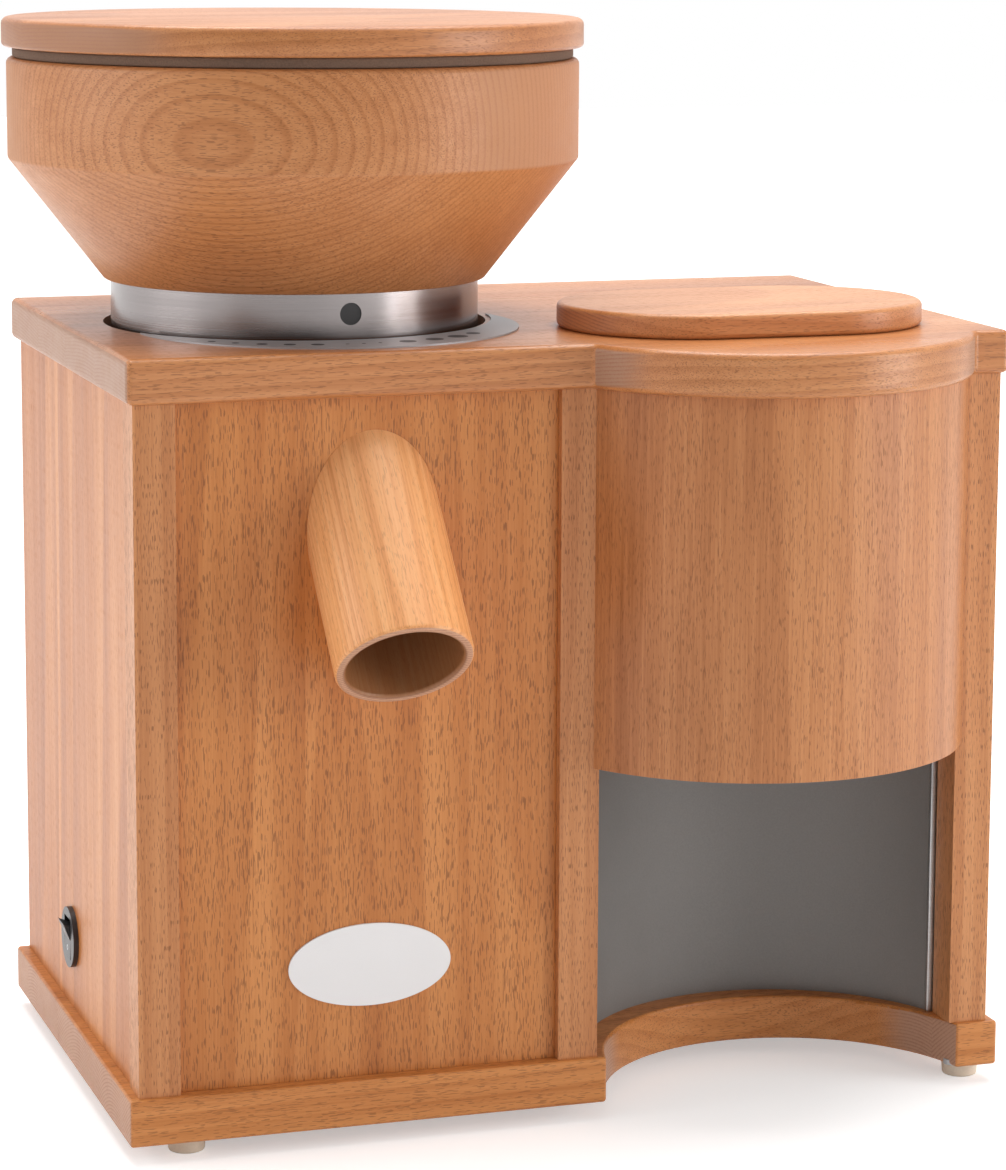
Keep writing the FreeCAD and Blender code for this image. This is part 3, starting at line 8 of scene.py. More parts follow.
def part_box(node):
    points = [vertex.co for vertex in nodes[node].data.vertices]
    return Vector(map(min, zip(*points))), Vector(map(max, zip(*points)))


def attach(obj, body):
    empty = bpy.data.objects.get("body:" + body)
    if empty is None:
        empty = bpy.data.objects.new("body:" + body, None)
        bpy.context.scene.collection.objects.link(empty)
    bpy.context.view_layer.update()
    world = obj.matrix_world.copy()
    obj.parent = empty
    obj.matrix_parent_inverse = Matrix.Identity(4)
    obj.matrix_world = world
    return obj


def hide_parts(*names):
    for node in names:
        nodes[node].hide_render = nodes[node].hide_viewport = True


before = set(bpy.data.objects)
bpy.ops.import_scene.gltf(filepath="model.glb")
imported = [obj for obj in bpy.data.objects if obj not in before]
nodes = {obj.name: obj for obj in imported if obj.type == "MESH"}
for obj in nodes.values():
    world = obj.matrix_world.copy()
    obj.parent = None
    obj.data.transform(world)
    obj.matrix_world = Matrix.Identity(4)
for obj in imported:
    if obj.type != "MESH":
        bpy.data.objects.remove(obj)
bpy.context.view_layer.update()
print("frame loaded:", len(nodes), "nodes")

# Where the camera stood, as fitted to the edges of the boards
camera = {
    "place": (-0.431345, -1.346085, 0.4443),
    "yaw": 17.978,
    "pitch": 8.640,
    "roll": 0.247,
    "lens": 117.585,
    "shiftY": -0.1,
    "sensor": 36,
}


def makeCamera(c):
    data = bpy.data.cameras.new("camera")
    data.lens = c["lens"]
    data.sensor_width = c["sensor"]
    data.sensor_fit = "AUTO"
    data.shift_y = c["shiftY"]
    data.clip_end = 50
    yaw, pitch, roll = (math.radians(c[key]) for key in ("yaw", "pitch", "roll"))
    ahead = Vector((math.sin(yaw) * math.cos(pitch), math.cos(yaw) * math.cos(pitch), -math.sin(pitch)))
    flat = Vector((math.cos(yaw), -math.sin(yaw), 0))
    over = flat.cross(ahead)
    right = flat * math.cos(roll) + over * math.sin(roll)
    up = over * math.cos(roll) - flat * math.sin(roll)
    turn = Matrix((right, up, -ahead)).transposed().to_4x4()
    item = bpy.data.objects.new("camera", data)
    item.matrix_world = Matrix.Translation(Vector(c["place"])) @ turn
    bpy.context.scene.collection.objects.link(item)
    bpy.context.scene.camera = item


makeCamera(camera)


# A wire is a socket that can be added to and multiplied
class Wire:
    def __init__(self, bench, socket):
        self.bench = bench
        self.socket = socket

    def calc(self, operation, *others):
        sockets = {0: self}
        sockets.update({i + 1: other for i, other in enumerate(others)})
        return self.bench.add("Math", {"operation": operation}, sockets)

    def __add__(self, other):
        return self.calc("ADD", other)

    __radd__ = __add__

    def __sub__(self, other):
        return self.calc("SUBTRACT", other)

    def __rsub__(self, other):
        return self.bench.add("Math", {"operation": "SUBTRACT"}, {0: other, 1: self})

    def __mul__(self, other):
        return self.calc("MULTIPLY", other)

    __rmul__ = __mul__

    def __truediv__(self, other):
        return self.calc("DIVIDE", other)

    def smooth(self, low, high):
        settings = {"interpolation_type": "SMOOTHSTEP"}
        return self.bench.add("MapRange", settings, {"Value": self, "From Min": low, "From Max": high})


# A bench adds nodes to a shader tree or a geometry tree
class Bench:
    def __init__(self, tree):
        self.tree = tree
        self.tree.nodes.clear()

    def add(self, kind, settings=None, sockets=None, out=0):
        node = self.tree.nodes.new(kind if "Node" in kind else "ShaderNode" + kind)
        for key, value in (settings or {}).items():
            if key == "stops":
                ramp = node.color_ramp
                while len(ramp.elements) < len(value):
                    ramp.elements.new(0.5)
                for element, (spot, colour) in zip(ramp.elements, value):
                    element.position = spot
                    element.color = (*colour, 1)
            else:
                setattr(node, key, value)
        for key, value in (sockets or {}).items():
            if isinstance(value, Wire):
                self.tree.links.new(value.socket, node.inputs[key])
            elif isinstance(value, tuple) and len(value) == 3 and node.inputs[key].type == "RGBA":
                node.inputs[key].default_value = (*value, 1)
            else:
                node.inputs[key].default_value = value
        return Wire(self, node.outputs[out]) if out is not None else None

    # A Mix node has each socket once for every kind of value; these are its colours
    def mix(self, factor, first, second):
        return self.add("Mix", {"data_type": "RGBA"}, {0: factor, 6: first, 7: second}, out=2)

    # Object coordinates or the surface's own direction, turned and moved
    def place(self, turn=(0, 0, 0), move=(0, 0, 0), out="Object"):
        coords = self.add("TexCoord", out=out)
        turn = tuple(math.radians(angle) for angle in turn)
        sockets = {"Vector": coords, "Rotation": turn, "Location": move}
        return self.add("Mapping", {"vector_type": "TEXTURE"}, sockets)

    def split(self, vector):
        first = self.add("SeparateXYZ", None, {"Vector": vector})
        return [Wire(self, first.socket.node.outputs[i]) for i in range(3)]

    def join(self, x, y, z):
        return self.add("CombineXYZ", None, {"X": x, "Y": y, "Z": z})

    def noise(self, vector, scale, detail):
        return self.add("TexNoise", None, {"Vector": vector, "Scale": scale, "Detail": detail})

    def chance(self, number):
        return self.add("TexWhiteNoise", {"noise_dimensions": "1D"}, {"W": number})


def newMaterial(name):
    material = bpy.data.materials.new(name)
    material.use_nodes = True
    return material, Bench(material.node_tree)


def finishMaterial(material, b, sockets, height, depth, strength):
    bump = {"Height": height, "Distance": depth, "Strength": strength}
    sockets["Normal"] = b.add("Bump", None, bump)
    surface = b.add("BsdfPrincipled", None, sockets)
    b.add("OutputMaterial", None, {"Surface": surface}, out=None)
    return material


# Oiled beech, in metres. Grain is the order of the axes along, across and through a board
beech = {
    "pale": (0.63, 0.278, 0.108),
    "mid": (0.49, 0.188, 0.062),
    "dark": (0.35, 0.117, 0.032),
    "fleck": (0.12, 0.034, 0.011),
    "endPale": (0.56, 0.315, 0.20),
    "endLine": (0.33, 0.135, 0.075),
    # Brown of the painted shade inside a bore
    "paintedBoreShade": (0.22, 0.082, 0.03),
    "grain": "ZXY",
    "turn": (0, 0, 0),
    "move": (0, 0, 0),
    "stave": 0,  # width of the glued staves, or 0 for one piece
    "staveShift": 0,
    "trunk": 0.10,  # from the board to the middle of the trunk
    "ringGap": 0.0075,
    "ringDepth": 0.26,
    "ringShift": 0,
    "lateStart": 0.15,  # where in a ring it starts to darken
    "sway": 1.0,
    "lean": 0.10,  # trunk's slope to the board
    # Radius of a hole along the grain whose inside gets painted shade, darker where less light reaches
    "bore": 0,  # radius of a darker hole along the grain
    "endGap": 0.0013,
    "flecks": 0.55,
    "fleckLimit": 0.60,
    "fibre": 0.10,
    "bands": 0.5,
    # A lift of the whole tone, paler above 0 and darker below it; partly the piece's own tone and partly
    # painted light, set piece by piece for how much light falls on it
    "paintedLift": 0.0,
    "rough": 0.40,
}

# Noises of the wood: waves in a metre across and along the grain, and detail
woodNoise = {
    "sway": (10, 2.4, 3.0),
    "streak": (170, 3.5, 3.0),
    "band": (38, 1.6, 2.0),
    "fibre": (1250, 22, 2.0),
    "fleck": (3000, 330, 0.0),
    "patch": (60, 25, 1.0),
    "pore": (1500, 200, 1.0),
}

# What chance changes from one stave to the next
luckPlay = {
    "seeds": ((1.37, 0.31), (2.11, 5.7)),
    "sideways": 0.8,
    "deeper": 0.6,
    "leastDeep": 0.7,
    "tone": 0.25,
    "onePiece": 0.4,  # the draw of a board that has no staves
}

# How much each pattern tells, in colour, sheen and height, and where each one starts and ends
woodPlay = {
    "swaySide": 0.010,
    "swayRadius": 0.006,
    "lateEnd": 0.88,
    "lateDrop": (0.89, 1.0),
    "lateShare": 0.45,
    "streakTone": 0.5,
    "bandTone": 1.6,
    "fibreTone": 6,
    "patchTone": 0.14,
    "fleckEdge": 0.10,
    "endFace": (0.72, 0.86),
    "arcRise": (0.35, 0.85),
    "arcDrop": (0.86, 1.0),
    "arcTone": 0.3,
    "poreTone": 0.9,
    "boreEdge": 0.001,
    "paintedBoreShade": 0.8,
    "streakSheen": 0.14,
    "fleckSheen": 0.12,
    "endSheen": 0.12,
    "fibreHeight": 0.35,
    "streakHeight": 0.2,
    "bump": (0.00010, 0.45),  # depth in metres, and strength
    "oilGloss": 1.46,
}


# A noise lies about 0.5, so 0.5 is taken off where it is to darken as much as it lightens
def makeBeech(name, changes):
    w = {**beech, **changes}
    p, chance = woodPlay, luckPlay
    material, b = newMaterial(name)
    spots = dict(zip("XYZ", b.split(b.place(w["turn"], w["move"]))))
    facing = dict(zip("XYZ", b.split(b.place(w["turn"], out="Normal"))))
    along, across, through = (spots[axis] for axis in w["grain"])
    endFace = facing[w["grain"][0]].calc("ABSOLUTE").smooth(*p["endFace"])

    def waves(kind, shift=None):
        fine, long, detail = woodNoise[kind]
        far = along * long if shift is None else along * long + shift
        return b.noise(b.join(across * fine, through * fine, far), 1.0, detail)

    # Rings about the middle of the trunk, which lies elsewhere for each stave
    if w["stave"]:
        board = ((across + w["staveShift"]) / w["stave"]).calc("FLOOR")
        luck, luck2 = (b.chance(board * step + start) for step, start in chance["seeds"])
        centre = (board + 0.5 + (luck - 0.5) * chance["sideways"]) * w["stave"] - w["staveShift"]
        side = across - centre
        down = through + (luck2 * chance["deeper"] + chance["leastDeep"]) * w["trunk"]
        lean = along * ((luck - 0.5) * (2 * w["lean"]))
    else:
        luck = b.chance(chance["onePiece"])
        side = across
        down = through + w["trunk"]
        lean = along * w["lean"]
    sway = waves("sway", luck * 9) - 0.5
    side = side + sway * (p["swaySide"] * w["sway"])
    down = down + lean
    radius = (side * side + down * down).calc("SQRT")
    radius = radius + sway * (p["swayRadius"] * w["sway"]) - w["ringShift"]
    ring = (radius / w["ringGap"]).calc("FRACT")
    late = ring.smooth(w["lateStart"], p["lateEnd"]) * (1 - ring.smooth(*p["lateDrop"]))

    # Streaks, bands and fibres along the grain
    streak = waves("streak", luck * 3)
    band = waves("band", luck * 5)
    fibre = waves("fibre")
    tone = (late - p["lateShare"]) * w["ringDepth"] + (streak - 0.5) * p["streakTone"]
    tone = tone + (band - 0.5) * (p["bandTone"] * w["bands"])
    tone = tone + (fibre - 0.5) * (p["fibreTone"] * w["fibre"])
    # Stave luck, and a lift of the whole piece that is partly its own tone and partly painted light, paler
    # for a piece that sits in shade
    tone = tone + (luck - 0.5) * chance["tone"] + 0.5 - w["paintedLift"]
    stops = [(0.0, w["pale"]), (0.5, w["mid"]), (1.0, w["dark"])]
    wood = b.add("ValToRGB", {"stops": stops}, {"Fac": tone})

    # Short dark flecks of the rays
    spot = waves("fleck", luck * 40) + (waves("patch") - 0.5) * p["patchTone"]
    fleck = spot.smooth(w["fleckLimit"], w["fleckLimit"] + p["fleckEdge"])
    wood = b.mix(fleck * w["flecks"], wood, w["fleck"])

    # End grain: fine arcs and pores
    arc = (radius / w["endGap"]).calc("FRACT")
    line = arc.smooth(*p["arcRise"]) * (1 - arc.smooth(*p["arcDrop"]))
    shade = line * (p["arcTone"] + band * 0.5) + (waves("pore") - 0.5) * p["poreTone"] + (band - 0.5) * 0.5
    wood = b.mix(endFace, wood, b.mix(shade, w["endPale"], w["endLine"]))
    # Painted shade inside the spout's bore: the hole along the grain is darkened towards a deep brown, as
    # shade would fall there
    if w["bore"]:
        inside = (across * across + through * through).calc("SQRT")
        inside = 1 - inside.smooth(w["bore"], w["bore"] + p["boreEdge"])
        wood = b.mix(inside * p["paintedBoreShade"], wood, w["paintedBoreShade"])
    rough = w["rough"] + (streak - 0.5) * p["streakSheen"] + fleck * p["fleckSheen"]
    rough = rough + endFace * p["endSheen"]
    height = fibre * p["fibreHeight"] + streak * p["streakHeight"] - fleck * w["flecks"]
    sockets = {"Base Color": wood, "Roughness": rough, "IOR": p["oilGloss"]}
    return finishMaterial(material, b, sockets, height, *p["bump"])


metalPlay = {
    "lineRun": 6,
    "clouds": 30,
    "lineEdge": (0.3, 0.7),
    "bump": 0.3,
}


# Turned or drawn metal, with fine lines round Z
def makeMetal(name, colour, rough, lines=2600.0, depth=0.00004):
    p = metalPlay
    material, b = newMaterial(name)
    x, y, z = b.split(b.place())
    line = b.noise(b.join(x * p["lineRun"], y * p["lineRun"], z * lines), 1.0, 2.0)
    cloud = b.noise(b.join(x * p["clouds"], y * p["clouds"], z * p["clouds"]), 1.0, 2.0)
    shade = line.smooth(*p["lineEdge"]) * 0.5 + (cloud - 0.5) * 0.4
    tone = b.mix(shade, tuple(part * 0.8 for part in colour), colour)
    roughness = rough + (line - 0.5) * 0.12 + (cloud - 0.5) * 0.08
    sockets = {"Base Color": tone, "Metallic": 1.0, "Roughness": roughness}
    return finishMaterial(material, b, sockets, line, depth, p["bump"])


mattePlay = {
    "clouds": 40.0,
    "paler": 1.2,
    "darker": 0.8,
    "bump": 0.5,
}


# Paint, plastic, felt, stone and cast metal: a fine grain and soft clouds
def makeMatte(name, colour, rough, grain=2500.0, vary=0.12, depth=0.00003, metal=0.0):
    p = mattePlay
    material, b = newMaterial(name)
    spot = b.place()
    fine = b.noise(spot, grain, 2.0)
    cloud = b.noise(spot, p["clouds"], 3.0)
    shade = (fine - 0.5) * vary * 4 + (cloud - 0.5) * vary * 2 + 0.5
    pale = tuple(min(1.0, part * p["paler"]) for part in colour)
    tone = b.mix(shade, tuple(part * p["darker"] for part in colour), pale)
    roughness = rough + (fine - 0.5) * 0.1 + (cloud - 0.5) * 0.1
    sockets = {"Base Color": tone, "Roughness": roughness, "Metallic": metal}
    return finishMaterial(material, b, sockets, fine, depth, p["bump"])


# The hopper's axis, and how its wood was cut from the trunk
hopper = {
    "x": -0.068675,
    "y": 0.023521,
    "grainTurn": -30.3,
    "figureHigh": 0.3573,
}
spout = {
    "x": -0.066175,
    "high": 0.2208,
    "grainTurn": 137,
}
golden = {
    "pale": (0.64, 0.256, 0.072),
    "mid": (0.50, 0.170, 0.036),
    "dark": (0.36, 0.105, 0.018),
}
honey = {
    "pale": (0.88, 0.47, 0.215),
    "mid": (0.78, 0.35, 0.13),
    "dark": (0.60, 0.23, 0.07),
}
# The lift of each piece is partly its own tone and partly painted light: the flaker lid, which sits in
# shade, is lifted much paler
woods = {
    "beech_panel_front": {
        **golden, "stave": 0.07, "staveShift": 0.0215, "bands": 0.55, "ringGap": 0.016, "paintedLift": 0.02},
    "beech_panel_back": {"stave": 0.08, "bands": 0.6, "flecks": 0.35},
    "beech_panel_side": {
        **golden, "grain": "ZYX", "stave": 0.07, "staveShift": 0.01, "flecks": 0.16, "bands": 0.7,
        "ringGap": 0.008, "ringDepth": 0.45, "trunk": 0.05, "lean": 0.03},
    "beech_post": {"bands": 0.3, "trunk": 0.06, "ringGap": 0.009, "lean": 0.02, "paintedLift": 0.16},
    "beech_board": {
        "grain": "XYZ", "stave": 0.052, "staveShift": 0.03, "trunk": 0.035, "lean": 0.04,
        "ringGap": 0.0045, "flecks": 0.42, "rough": 0.30, "paintedLift": -0.04, "endPale": (0.40, 0.22, 0.135)},
    "beech_base": {
        **golden, "grain": "XYZ", "stave": 0.058, "staveShift": 0.01, "trunk": 0.03, "lean": 0.04,
        "ringGap": 0.005, "flecks": 0.42, "paintedLift": 0.16, "endPale": (0.50, 0.28, 0.18)},
    "beech_cover": {
        "trunk": 0.25, "ringGap": 0.014, "ringDepth": 0.2, "bands": 0.6, "fibre": 0.16, "flecks": 0.45,
        "fleckLimit": 0.61, "paintedLift": 0.02, "lean": 0.02},
    "beech_bowl": {
        "grain": "XZY", "turn": (0, 0, hopper["grainTurn"]),
        "move": (hopper["x"], hopper["y"], hopper["figureHigh"]), "trunk": 0.1432, "ringGap": 0.0026,
        "ringShift": 0.0392, "lateStart": 0.5, "sway": 0.3, "ringDepth": 0.3, "lean": 0.0,
        "flecks": 0.45, "bands": 0.3, "endPale": (0.50, 0.225, 0.10), "endLine": (0.42, 0.17, 0.075),
        "endGap": 0.0026, "paintedLift": 0.08},
    "beech_lid": {
        "grain": "XYZ", "turn": (0, 0, 12), "stave": 0.06, "staveShift": 0.02, "trunk": 0.04,
        "ringGap": 0.0045, "flecks": 0.4, "lean": 0.05, "rough": 0.32, "endPale": (0.38, 0.17, 0.08),
        "paintedLift": -0.12},
    "beech_flap": {
        "grain": "XYZ", "trunk": 0.05, "ringGap": 0.005, "flecks": 0.35, "rough": 0.32, "lean": 0.05,
        "paintedLift": 0.34, "endPale": (0.56, 0.25, 0.11)},
    "beech_spout": {
        **honey, "turn": (spout["grainTurn"], 0, 0),
        "move": (spout["x"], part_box("panel_front")[0][1], spout["high"]), "bore": 0.0212,
        "trunk": 0.06, "ringGap": 0.0019, "ringDepth": 0.3, "flecks": 0.22, "fibre": 0.16, "lean": 0.0,
        "fleckLimit": 0.62},
}
metals = {
    "collar_steel": {"colour": (0.31, 0.28, 0.275), "rough": 0.25},
    # A paler copy of the sheet's metal for its folded edges: a painted highlight
    "edge_highlight_steel": {"colour": (0.62, 0.62, 0.62), "rough": 0.4},
    "core_steel": {"colour": (0.42, 0.42, 0.43), "rough": 0.42},
    "copper_wire": {"colour": (0.72, 0.36, 0.18), "rough": 0.35, "lines": 1400.0, "depth": 0.0002},
    "bronze": {"colour": (0.6, 0.42, 0.2), "rough": 0.38},
}
mattes = {
    "grey_sheet": {
        "colour": (0.215, 0.205, 0.195), "rough": 0.55, "grain": 1600.0, "vary": 0.16, "metal": 0.25},
    "scale_grey": {"colour": (0.40, 0.40, 0.415), "rough": 0.42, "metal": 0.4},
    "cast_aluminium": {
        "colour": (0.55, 0.55, 0.57), "rough": 0.5, "grain": 900.0, "vary": 0.2, "depth": 0.0001,
        "metal": 1.0},
    "painted_casing": {"colour": (0.03, 0.03, 0.033), "rough": 0.45, "grain": 1200.0, "vary": 0.2},
    "mill_stone": {
        "colour": (0.6, 0.57, 0.52), "rough": 0.85, "grain": 700.0, "vary": 0.5, "depth": 0.0004},
    "black_plastic": {"colour": (0.022, 0.020, 0.021), "rough": 0.38, "grain": 3000.0, "vary": 0.2},
    "dark_print": {"colour": (0.035, 0.033, 0.036), "rough": 0.5},
    "white_print": {"colour": (0.62, 0.64, 0.66), "rough": 0.5},
    "white_plastic": {"colour": (0.78, 0.76, 0.7), "rough": 0.45},
    "badge_silver": {"colour": (0.84, 0.82, 0.82), "rough": 0.4, "grain": 4000.0, "vary": 0.05},
    "seal_felt": {
        "colour": (0.17, 0.105, 0.072), "rough": 0.95, "grain": 1700.0, "vary": 0.5, "depth": 0.0004},
    "cream_rubber": {"colour": (0.85, 0.72, 0.58), "rough": 0.65, "grain": 1500.0, "vary": 0.1},
}
finishes = {name: makeBeech(name, look) for name, look in woods.items()}
finishes.update({name: makeMetal(name, **look) for name, look in metals.items()})
finishes.update({name: makeMatte(name, **look) for name, look in mattes.items()})
print("materials made:", len(finishes))

nodeFinishes = {
    "beech_panel_front": "panel_front",
    "beech_panel_back": "panel_back divider bay_ceiling cover_battens",
    "beech_panel_side": "panel_left panel_right",
    "beech_post": "posts",
    "beech_board": "top_board",
    "beech_base": "base_board",
    "beech_cover": "curved_cover",
    "beech_bowl": "hopper_bowl",
    "beech_lid": "hopper_lid",
    "beech_flap": "flaker_lid",
    "beech_spout": "spout",
    "collar_steel": "hopper_collar collar_clip stone_nut",
    "grey_sheet": "bay_shield mount_plate stone_plate flaker_funnel flake_guide",
    "scale_grey": "scale_plate",
    "cast_aluminium": "milling_chamber stone_carrier motor_shields gear_case flaker_gearbox",
    "painted_casing": "motor_casing flaker_motor run_capacitor",
    "core_steel": "stator_core rotor_core motor_shaft motor_bearings guide_pins roller_frame drive_roller"
                  " idle_roller drive_gear idle_gear base_screws mill_screws bowl_screws",
    "copper_wire": "stator_windings",
    "mill_stone": "upper_stone lower_stone",
    "bronze": "roller_bushes",
    "black_plastic": "switch_bezel switch_rocker pointer_plug cable_gland motor_fan terminal_box",
    "white_plastic": "flour_outlet collar_slide_ring",
    "badge_silver": "badge_plate",
    "seal_felt": "lid_seal",
    "cream_rubber": "feet",
}
dressed = 0
for finish, names in nodeFinishes.items():
    for name in names.split():
        data = nodes[name].data
        data.materials.clear()
        data.materials.append(finishes[finish])
        dressed += 1
print("nodes dressed:", dressed, "of", len(nodes))


sharp = {"cad": 32, "turned": 40}  # angles past which an edge is shaded sharp
mergeWithin = 0.00001
sameWay = math.radians(1)


def addObject(name, mesh, finish):
    mesh.materials.clear()
    mesh.materials.append(finishes[finish])
    mesh.shade_smooth()
    mesh.set_sharp_from_angle(angle=math.radians(sharp["cad"]))
    item = bpy.data.objects.new(name, mesh)
    bpy.context.scene.collection.objects.link(item)
    return item


def meshFrom(shape, name):
    mesh = bpy.data.meshes.new(name)
    shape.to_mesh(mesh)
    shape.free()
    if "custom_normal" in mesh.attributes:
        mesh.attributes.remove(mesh.attributes["custom_normal"])
    return mesh


# A node's own triangles with their doubles merged, and flat faces made one where asked
def mergedShape(node, flatten):
    shape = bmesh.new()
    shape.from_mesh(nodes[node].data)
    bmesh.ops.remove_doubles(shape, verts=shape.verts, dist=mergeWithin)
    bmesh.ops.dissolve_degenerate(shape, edges=shape.edges, dist=mergeWithin)
    if flatten:
        bmesh.ops.dissolve_limit(shape, angle_limit=sameWay, verts=shape.verts, edges=shape.edges)
    return shape


def breakEdges(item, edge, harden):
    bevel = item.modifiers.new("edge", "BEVEL")
    bevel.width = edge["wide"]
    bevel.segments = 2
    bevel.limit_method = "ANGLE"
    bevel.angle_limit = math.radians(edge["angle"])
    bevel.harden_normals = harden


# Turn the modifiers of a piece into its mesh
def bake(item):
    graph = bpy.context.evaluated_depsgraph_get()
    mesh = bpy.data.meshes.new_from_object(item.evaluated_get(graph))
    item.modifiers.clear()
    item.data = mesh
    return item


# A merged, smoothly shaded copy of a node's own mesh, with broken edges where they are given
def fromCad(node, name, finish, slotName, body, edge=None):
    item = addObject(name, meshFrom(mergedShape(node, bool(edge)), name), finish)
    if edge:
        breakEdges(item, edge, True)
    weigh = item.modifiers.new("weigh", "WEIGHTED_NORMAL")
    weigh.keep_sharp = True
    bake(item)
    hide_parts(node)
    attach(item, body)


boardEdge = {"wide": 0.0005, "angle": 50}
copies = [
    ("top_board", "top_board_wood", "beech_board", "oiled_beech", "housing"),
    ("base_board", "base_board_wood", "beech_base", "oiled_beech", "housing"),
    ("curved_cover", "curved_cover_wood", "beech_cover", "oiled_beech", "housing"),
    ("posts", "posts_wood", "beech_post", "oiled_beech", "housing", boardEdge),
    ("panel_front", "panel_front_wood", "beech_panel_front", "oiled_beech", "housing", boardEdge),
    ("panel_left", "panel_left_wood", "beech_panel_side", "oiled_beech", "housing", boardEdge),
    ("panel_right", "panel_right_wood", "beech_panel_side", "oiled_beech", "housing", boardEdge),
    ("panel_back", "panel_back_wood", "beech_panel_back", "oiled_beech", "housing", boardEdge),
    ("bay_shield", "bay_shield_sheet", "grey_sheet", "grey_sheet", "housing"),
    ("spout", "spout_turned", "beech_spout", "turned_beech", "housing"),
    ("hopper_collar", "hopper_collar_turned", "collar_steel", "brushed_steel", "hopper"),
    ("flaker_lid", "flaker_lid_wood", "beech_flap", "oiled_beech", "flaker_cover"),
    ("switch_bezel", "switch_bezel_moulded", "black_plastic", "black_plastic", "housing"),
    ("badge_plate", "badge_plate_blank", "badge_silver", "badge_silver", "housing"),
]
for entry in copies:
    fromCad(*entry)
print("boards and sheets dressed:", len(copies))


# A geometry tree with named inputs; the first is the mesh that it starts from
def newTree(name, inputs):
    group = bpy.data.node_groups.new(name, "GeometryNodeTree")
    group.interface.new_socket(name="Geometry", in_out="INPUT", socket_type="NodeSocketGeometry")
    sockets = {}
    for label, (kind, value) in inputs.items():
        socket = group.interface.new_socket(name=label, in_out="INPUT", socket_type="NodeSocket" + kind)
        if value is not None:
            socket.default_value = value
        sockets[label] = socket.identifier
    group.interface.new_socket(name="Geometry", in_out="OUTPUT", socket_type="NodeSocketGeometry")
    b = Bench(group)
    start = group.nodes.new("NodeGroupInput")
    wires = {output.name: Wire(b, output) for output in start.outputs if output.name}
    return group, b, wires, sockets


def endTree(b, geometry, finish):
    whole = b.add("GeometryNodeRealizeInstances", None, {"Geometry": geometry})
    done = b.add("GeometryNodeSetMaterial", None, {"Geometry": whole, "Material": finish})
    last = b.tree.nodes.new("NodeGroupOutput")
    b.tree.links.new(done.socket, last.inputs[0])


# A bare mesh of points and lines, with one number at each point
def pointMesh(name, places, lines, label, numbers):
    mesh = bpy.data.meshes.new(name)
    mesh.from_pydata(places, lines, [])
    share = mesh.attributes.new(label, "FLOAT", "POINT")
    for i, number in enumerate(numbers):
        share.data[i].value = number
    return mesh


def runTree(mesh, tree, values, finish):
    group, sockets = tree
    item = bpy.data.objects.new(mesh.name, mesh)
    bpy.context.scene.collection.objects.link(item)
    modifier = item.modifiers.new("shape", "NODES")
    modifier.node_group = group
    for label, value in {**values, "Finish": finishes[finish]}.items():
        modifier[sockets[label]] = value
    return bake(item)


# Turned pieces: an outline of radius and height, rounded at its corners, goes round the hopper's axis
def turnedTree():
    inputs = {
        "Edge round": ("Float", 0.002),
        "Round steps": ("Int", 4),
        "Steps around": ("Int", 160),
        "Merge": ("Float", 0.000002),
        "Axis X": ("Float", 0.0),
        "Axis Y": ("Float", 0.0),
        "Finish": ("Material", None),
    }
    group, b, wires, sockets = newTree("turned_piece", inputs)
    share = b.add("GeometryNodeInputNamedAttribute", {"data_type": "FLOAT"}, {"Name": "rounded"})
    line = b.add("GeometryNodeMeshToCurve", None, {"Mesh": wires["Geometry"]})
    line = b.add("GeometryNodeFilletCurve", {"mode": "POLY"}, {
        "Curve": line,
        "Count": wires["Round steps"],
        "Radius": share * wires["Edge round"],
        "Limit Radius": True,
    })
    points = b.add("GeometryNodeCurveToPoints", {"mode": "EVALUATED"}, {"Curve": line})
    counted = {"component": "POINTCLOUD"}
    count = b.add("GeometryNodeAttributeDomainSize", counted, {"Geometry": points}, out="Point Count")

    # A grid with the outline along one side, wrapped round; its last row closes the outline
    rows = count + 1
    steps = wires["Steps around"]
    grid = b.add("GeometryNodeMeshGrid", None, {"Vertices X": steps + 1, "Vertices Y": rows})
    index = b.add("GeometryNodeInputIndex")
    column = ((index + 0.5) / rows).calc("FLOOR")
    row = (index - column * rows).calc("MODULO", count)
    place = b.add("GeometryNodeInputPosition")
    sample = {"data_type": "FLOAT_VECTOR", "domain": "POINT"}
    picked = b.add("GeometryNodeSampleIndex", sample, {"Geometry": points, "Value": place, "Index": row})
    radius, _, high = b.split(picked)
    angle = column / steps * math.tau
    x = wires["Axis X"] + radius * angle.calc("COSINE")
    y = wires["Axis Y"] + radius * angle.calc("SINE")
    shell = b.add("GeometryNodeSetPosition", None, {"Geometry": grid, "Position": b.join(x, y, high)})
    merge = {"Geometry": shell, "Distance": wires["Merge"]}
    endTree(b, b.add("GeometryNodeMergeByDistance", None, merge), wires["Finish"])
    return group, sockets


turned = turnedTree()


# Each corner is a radius, a height and its share of the edge's rounding
def turnPiece(name, node, body, finish, corners, edgeRound):
    count = len(corners)
    places = [(radius, 0, high) for radius, high, _ in corners]
    lines = [(i, (i + 1) % count) for i in range(count)]
    mesh = pointMesh(name, places, lines, "rounded", [rounded for _, _, rounded in corners])
    values = {"Edge round": edgeRound, "Axis X": hopper["x"], "Axis Y": hopper["y"]}
    item = runTree(mesh, turned, values, finish)
    shape = bmesh.new()
    shape.from_mesh(item.data)
    bmesh.ops.recalc_face_normals(shape, faces=shape.faces)
    shape.to_mesh(item.data)
    shape.free()
    item.data.shade_smooth()
    item.data.set_sharp_from_angle(angle=math.radians(sharp["turned"]))
    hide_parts(node)
    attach(item, body)


def widthAndHeights(node):
    low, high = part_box(node)
    return (high[0] - low[0]) / 2, low[2], high[2]


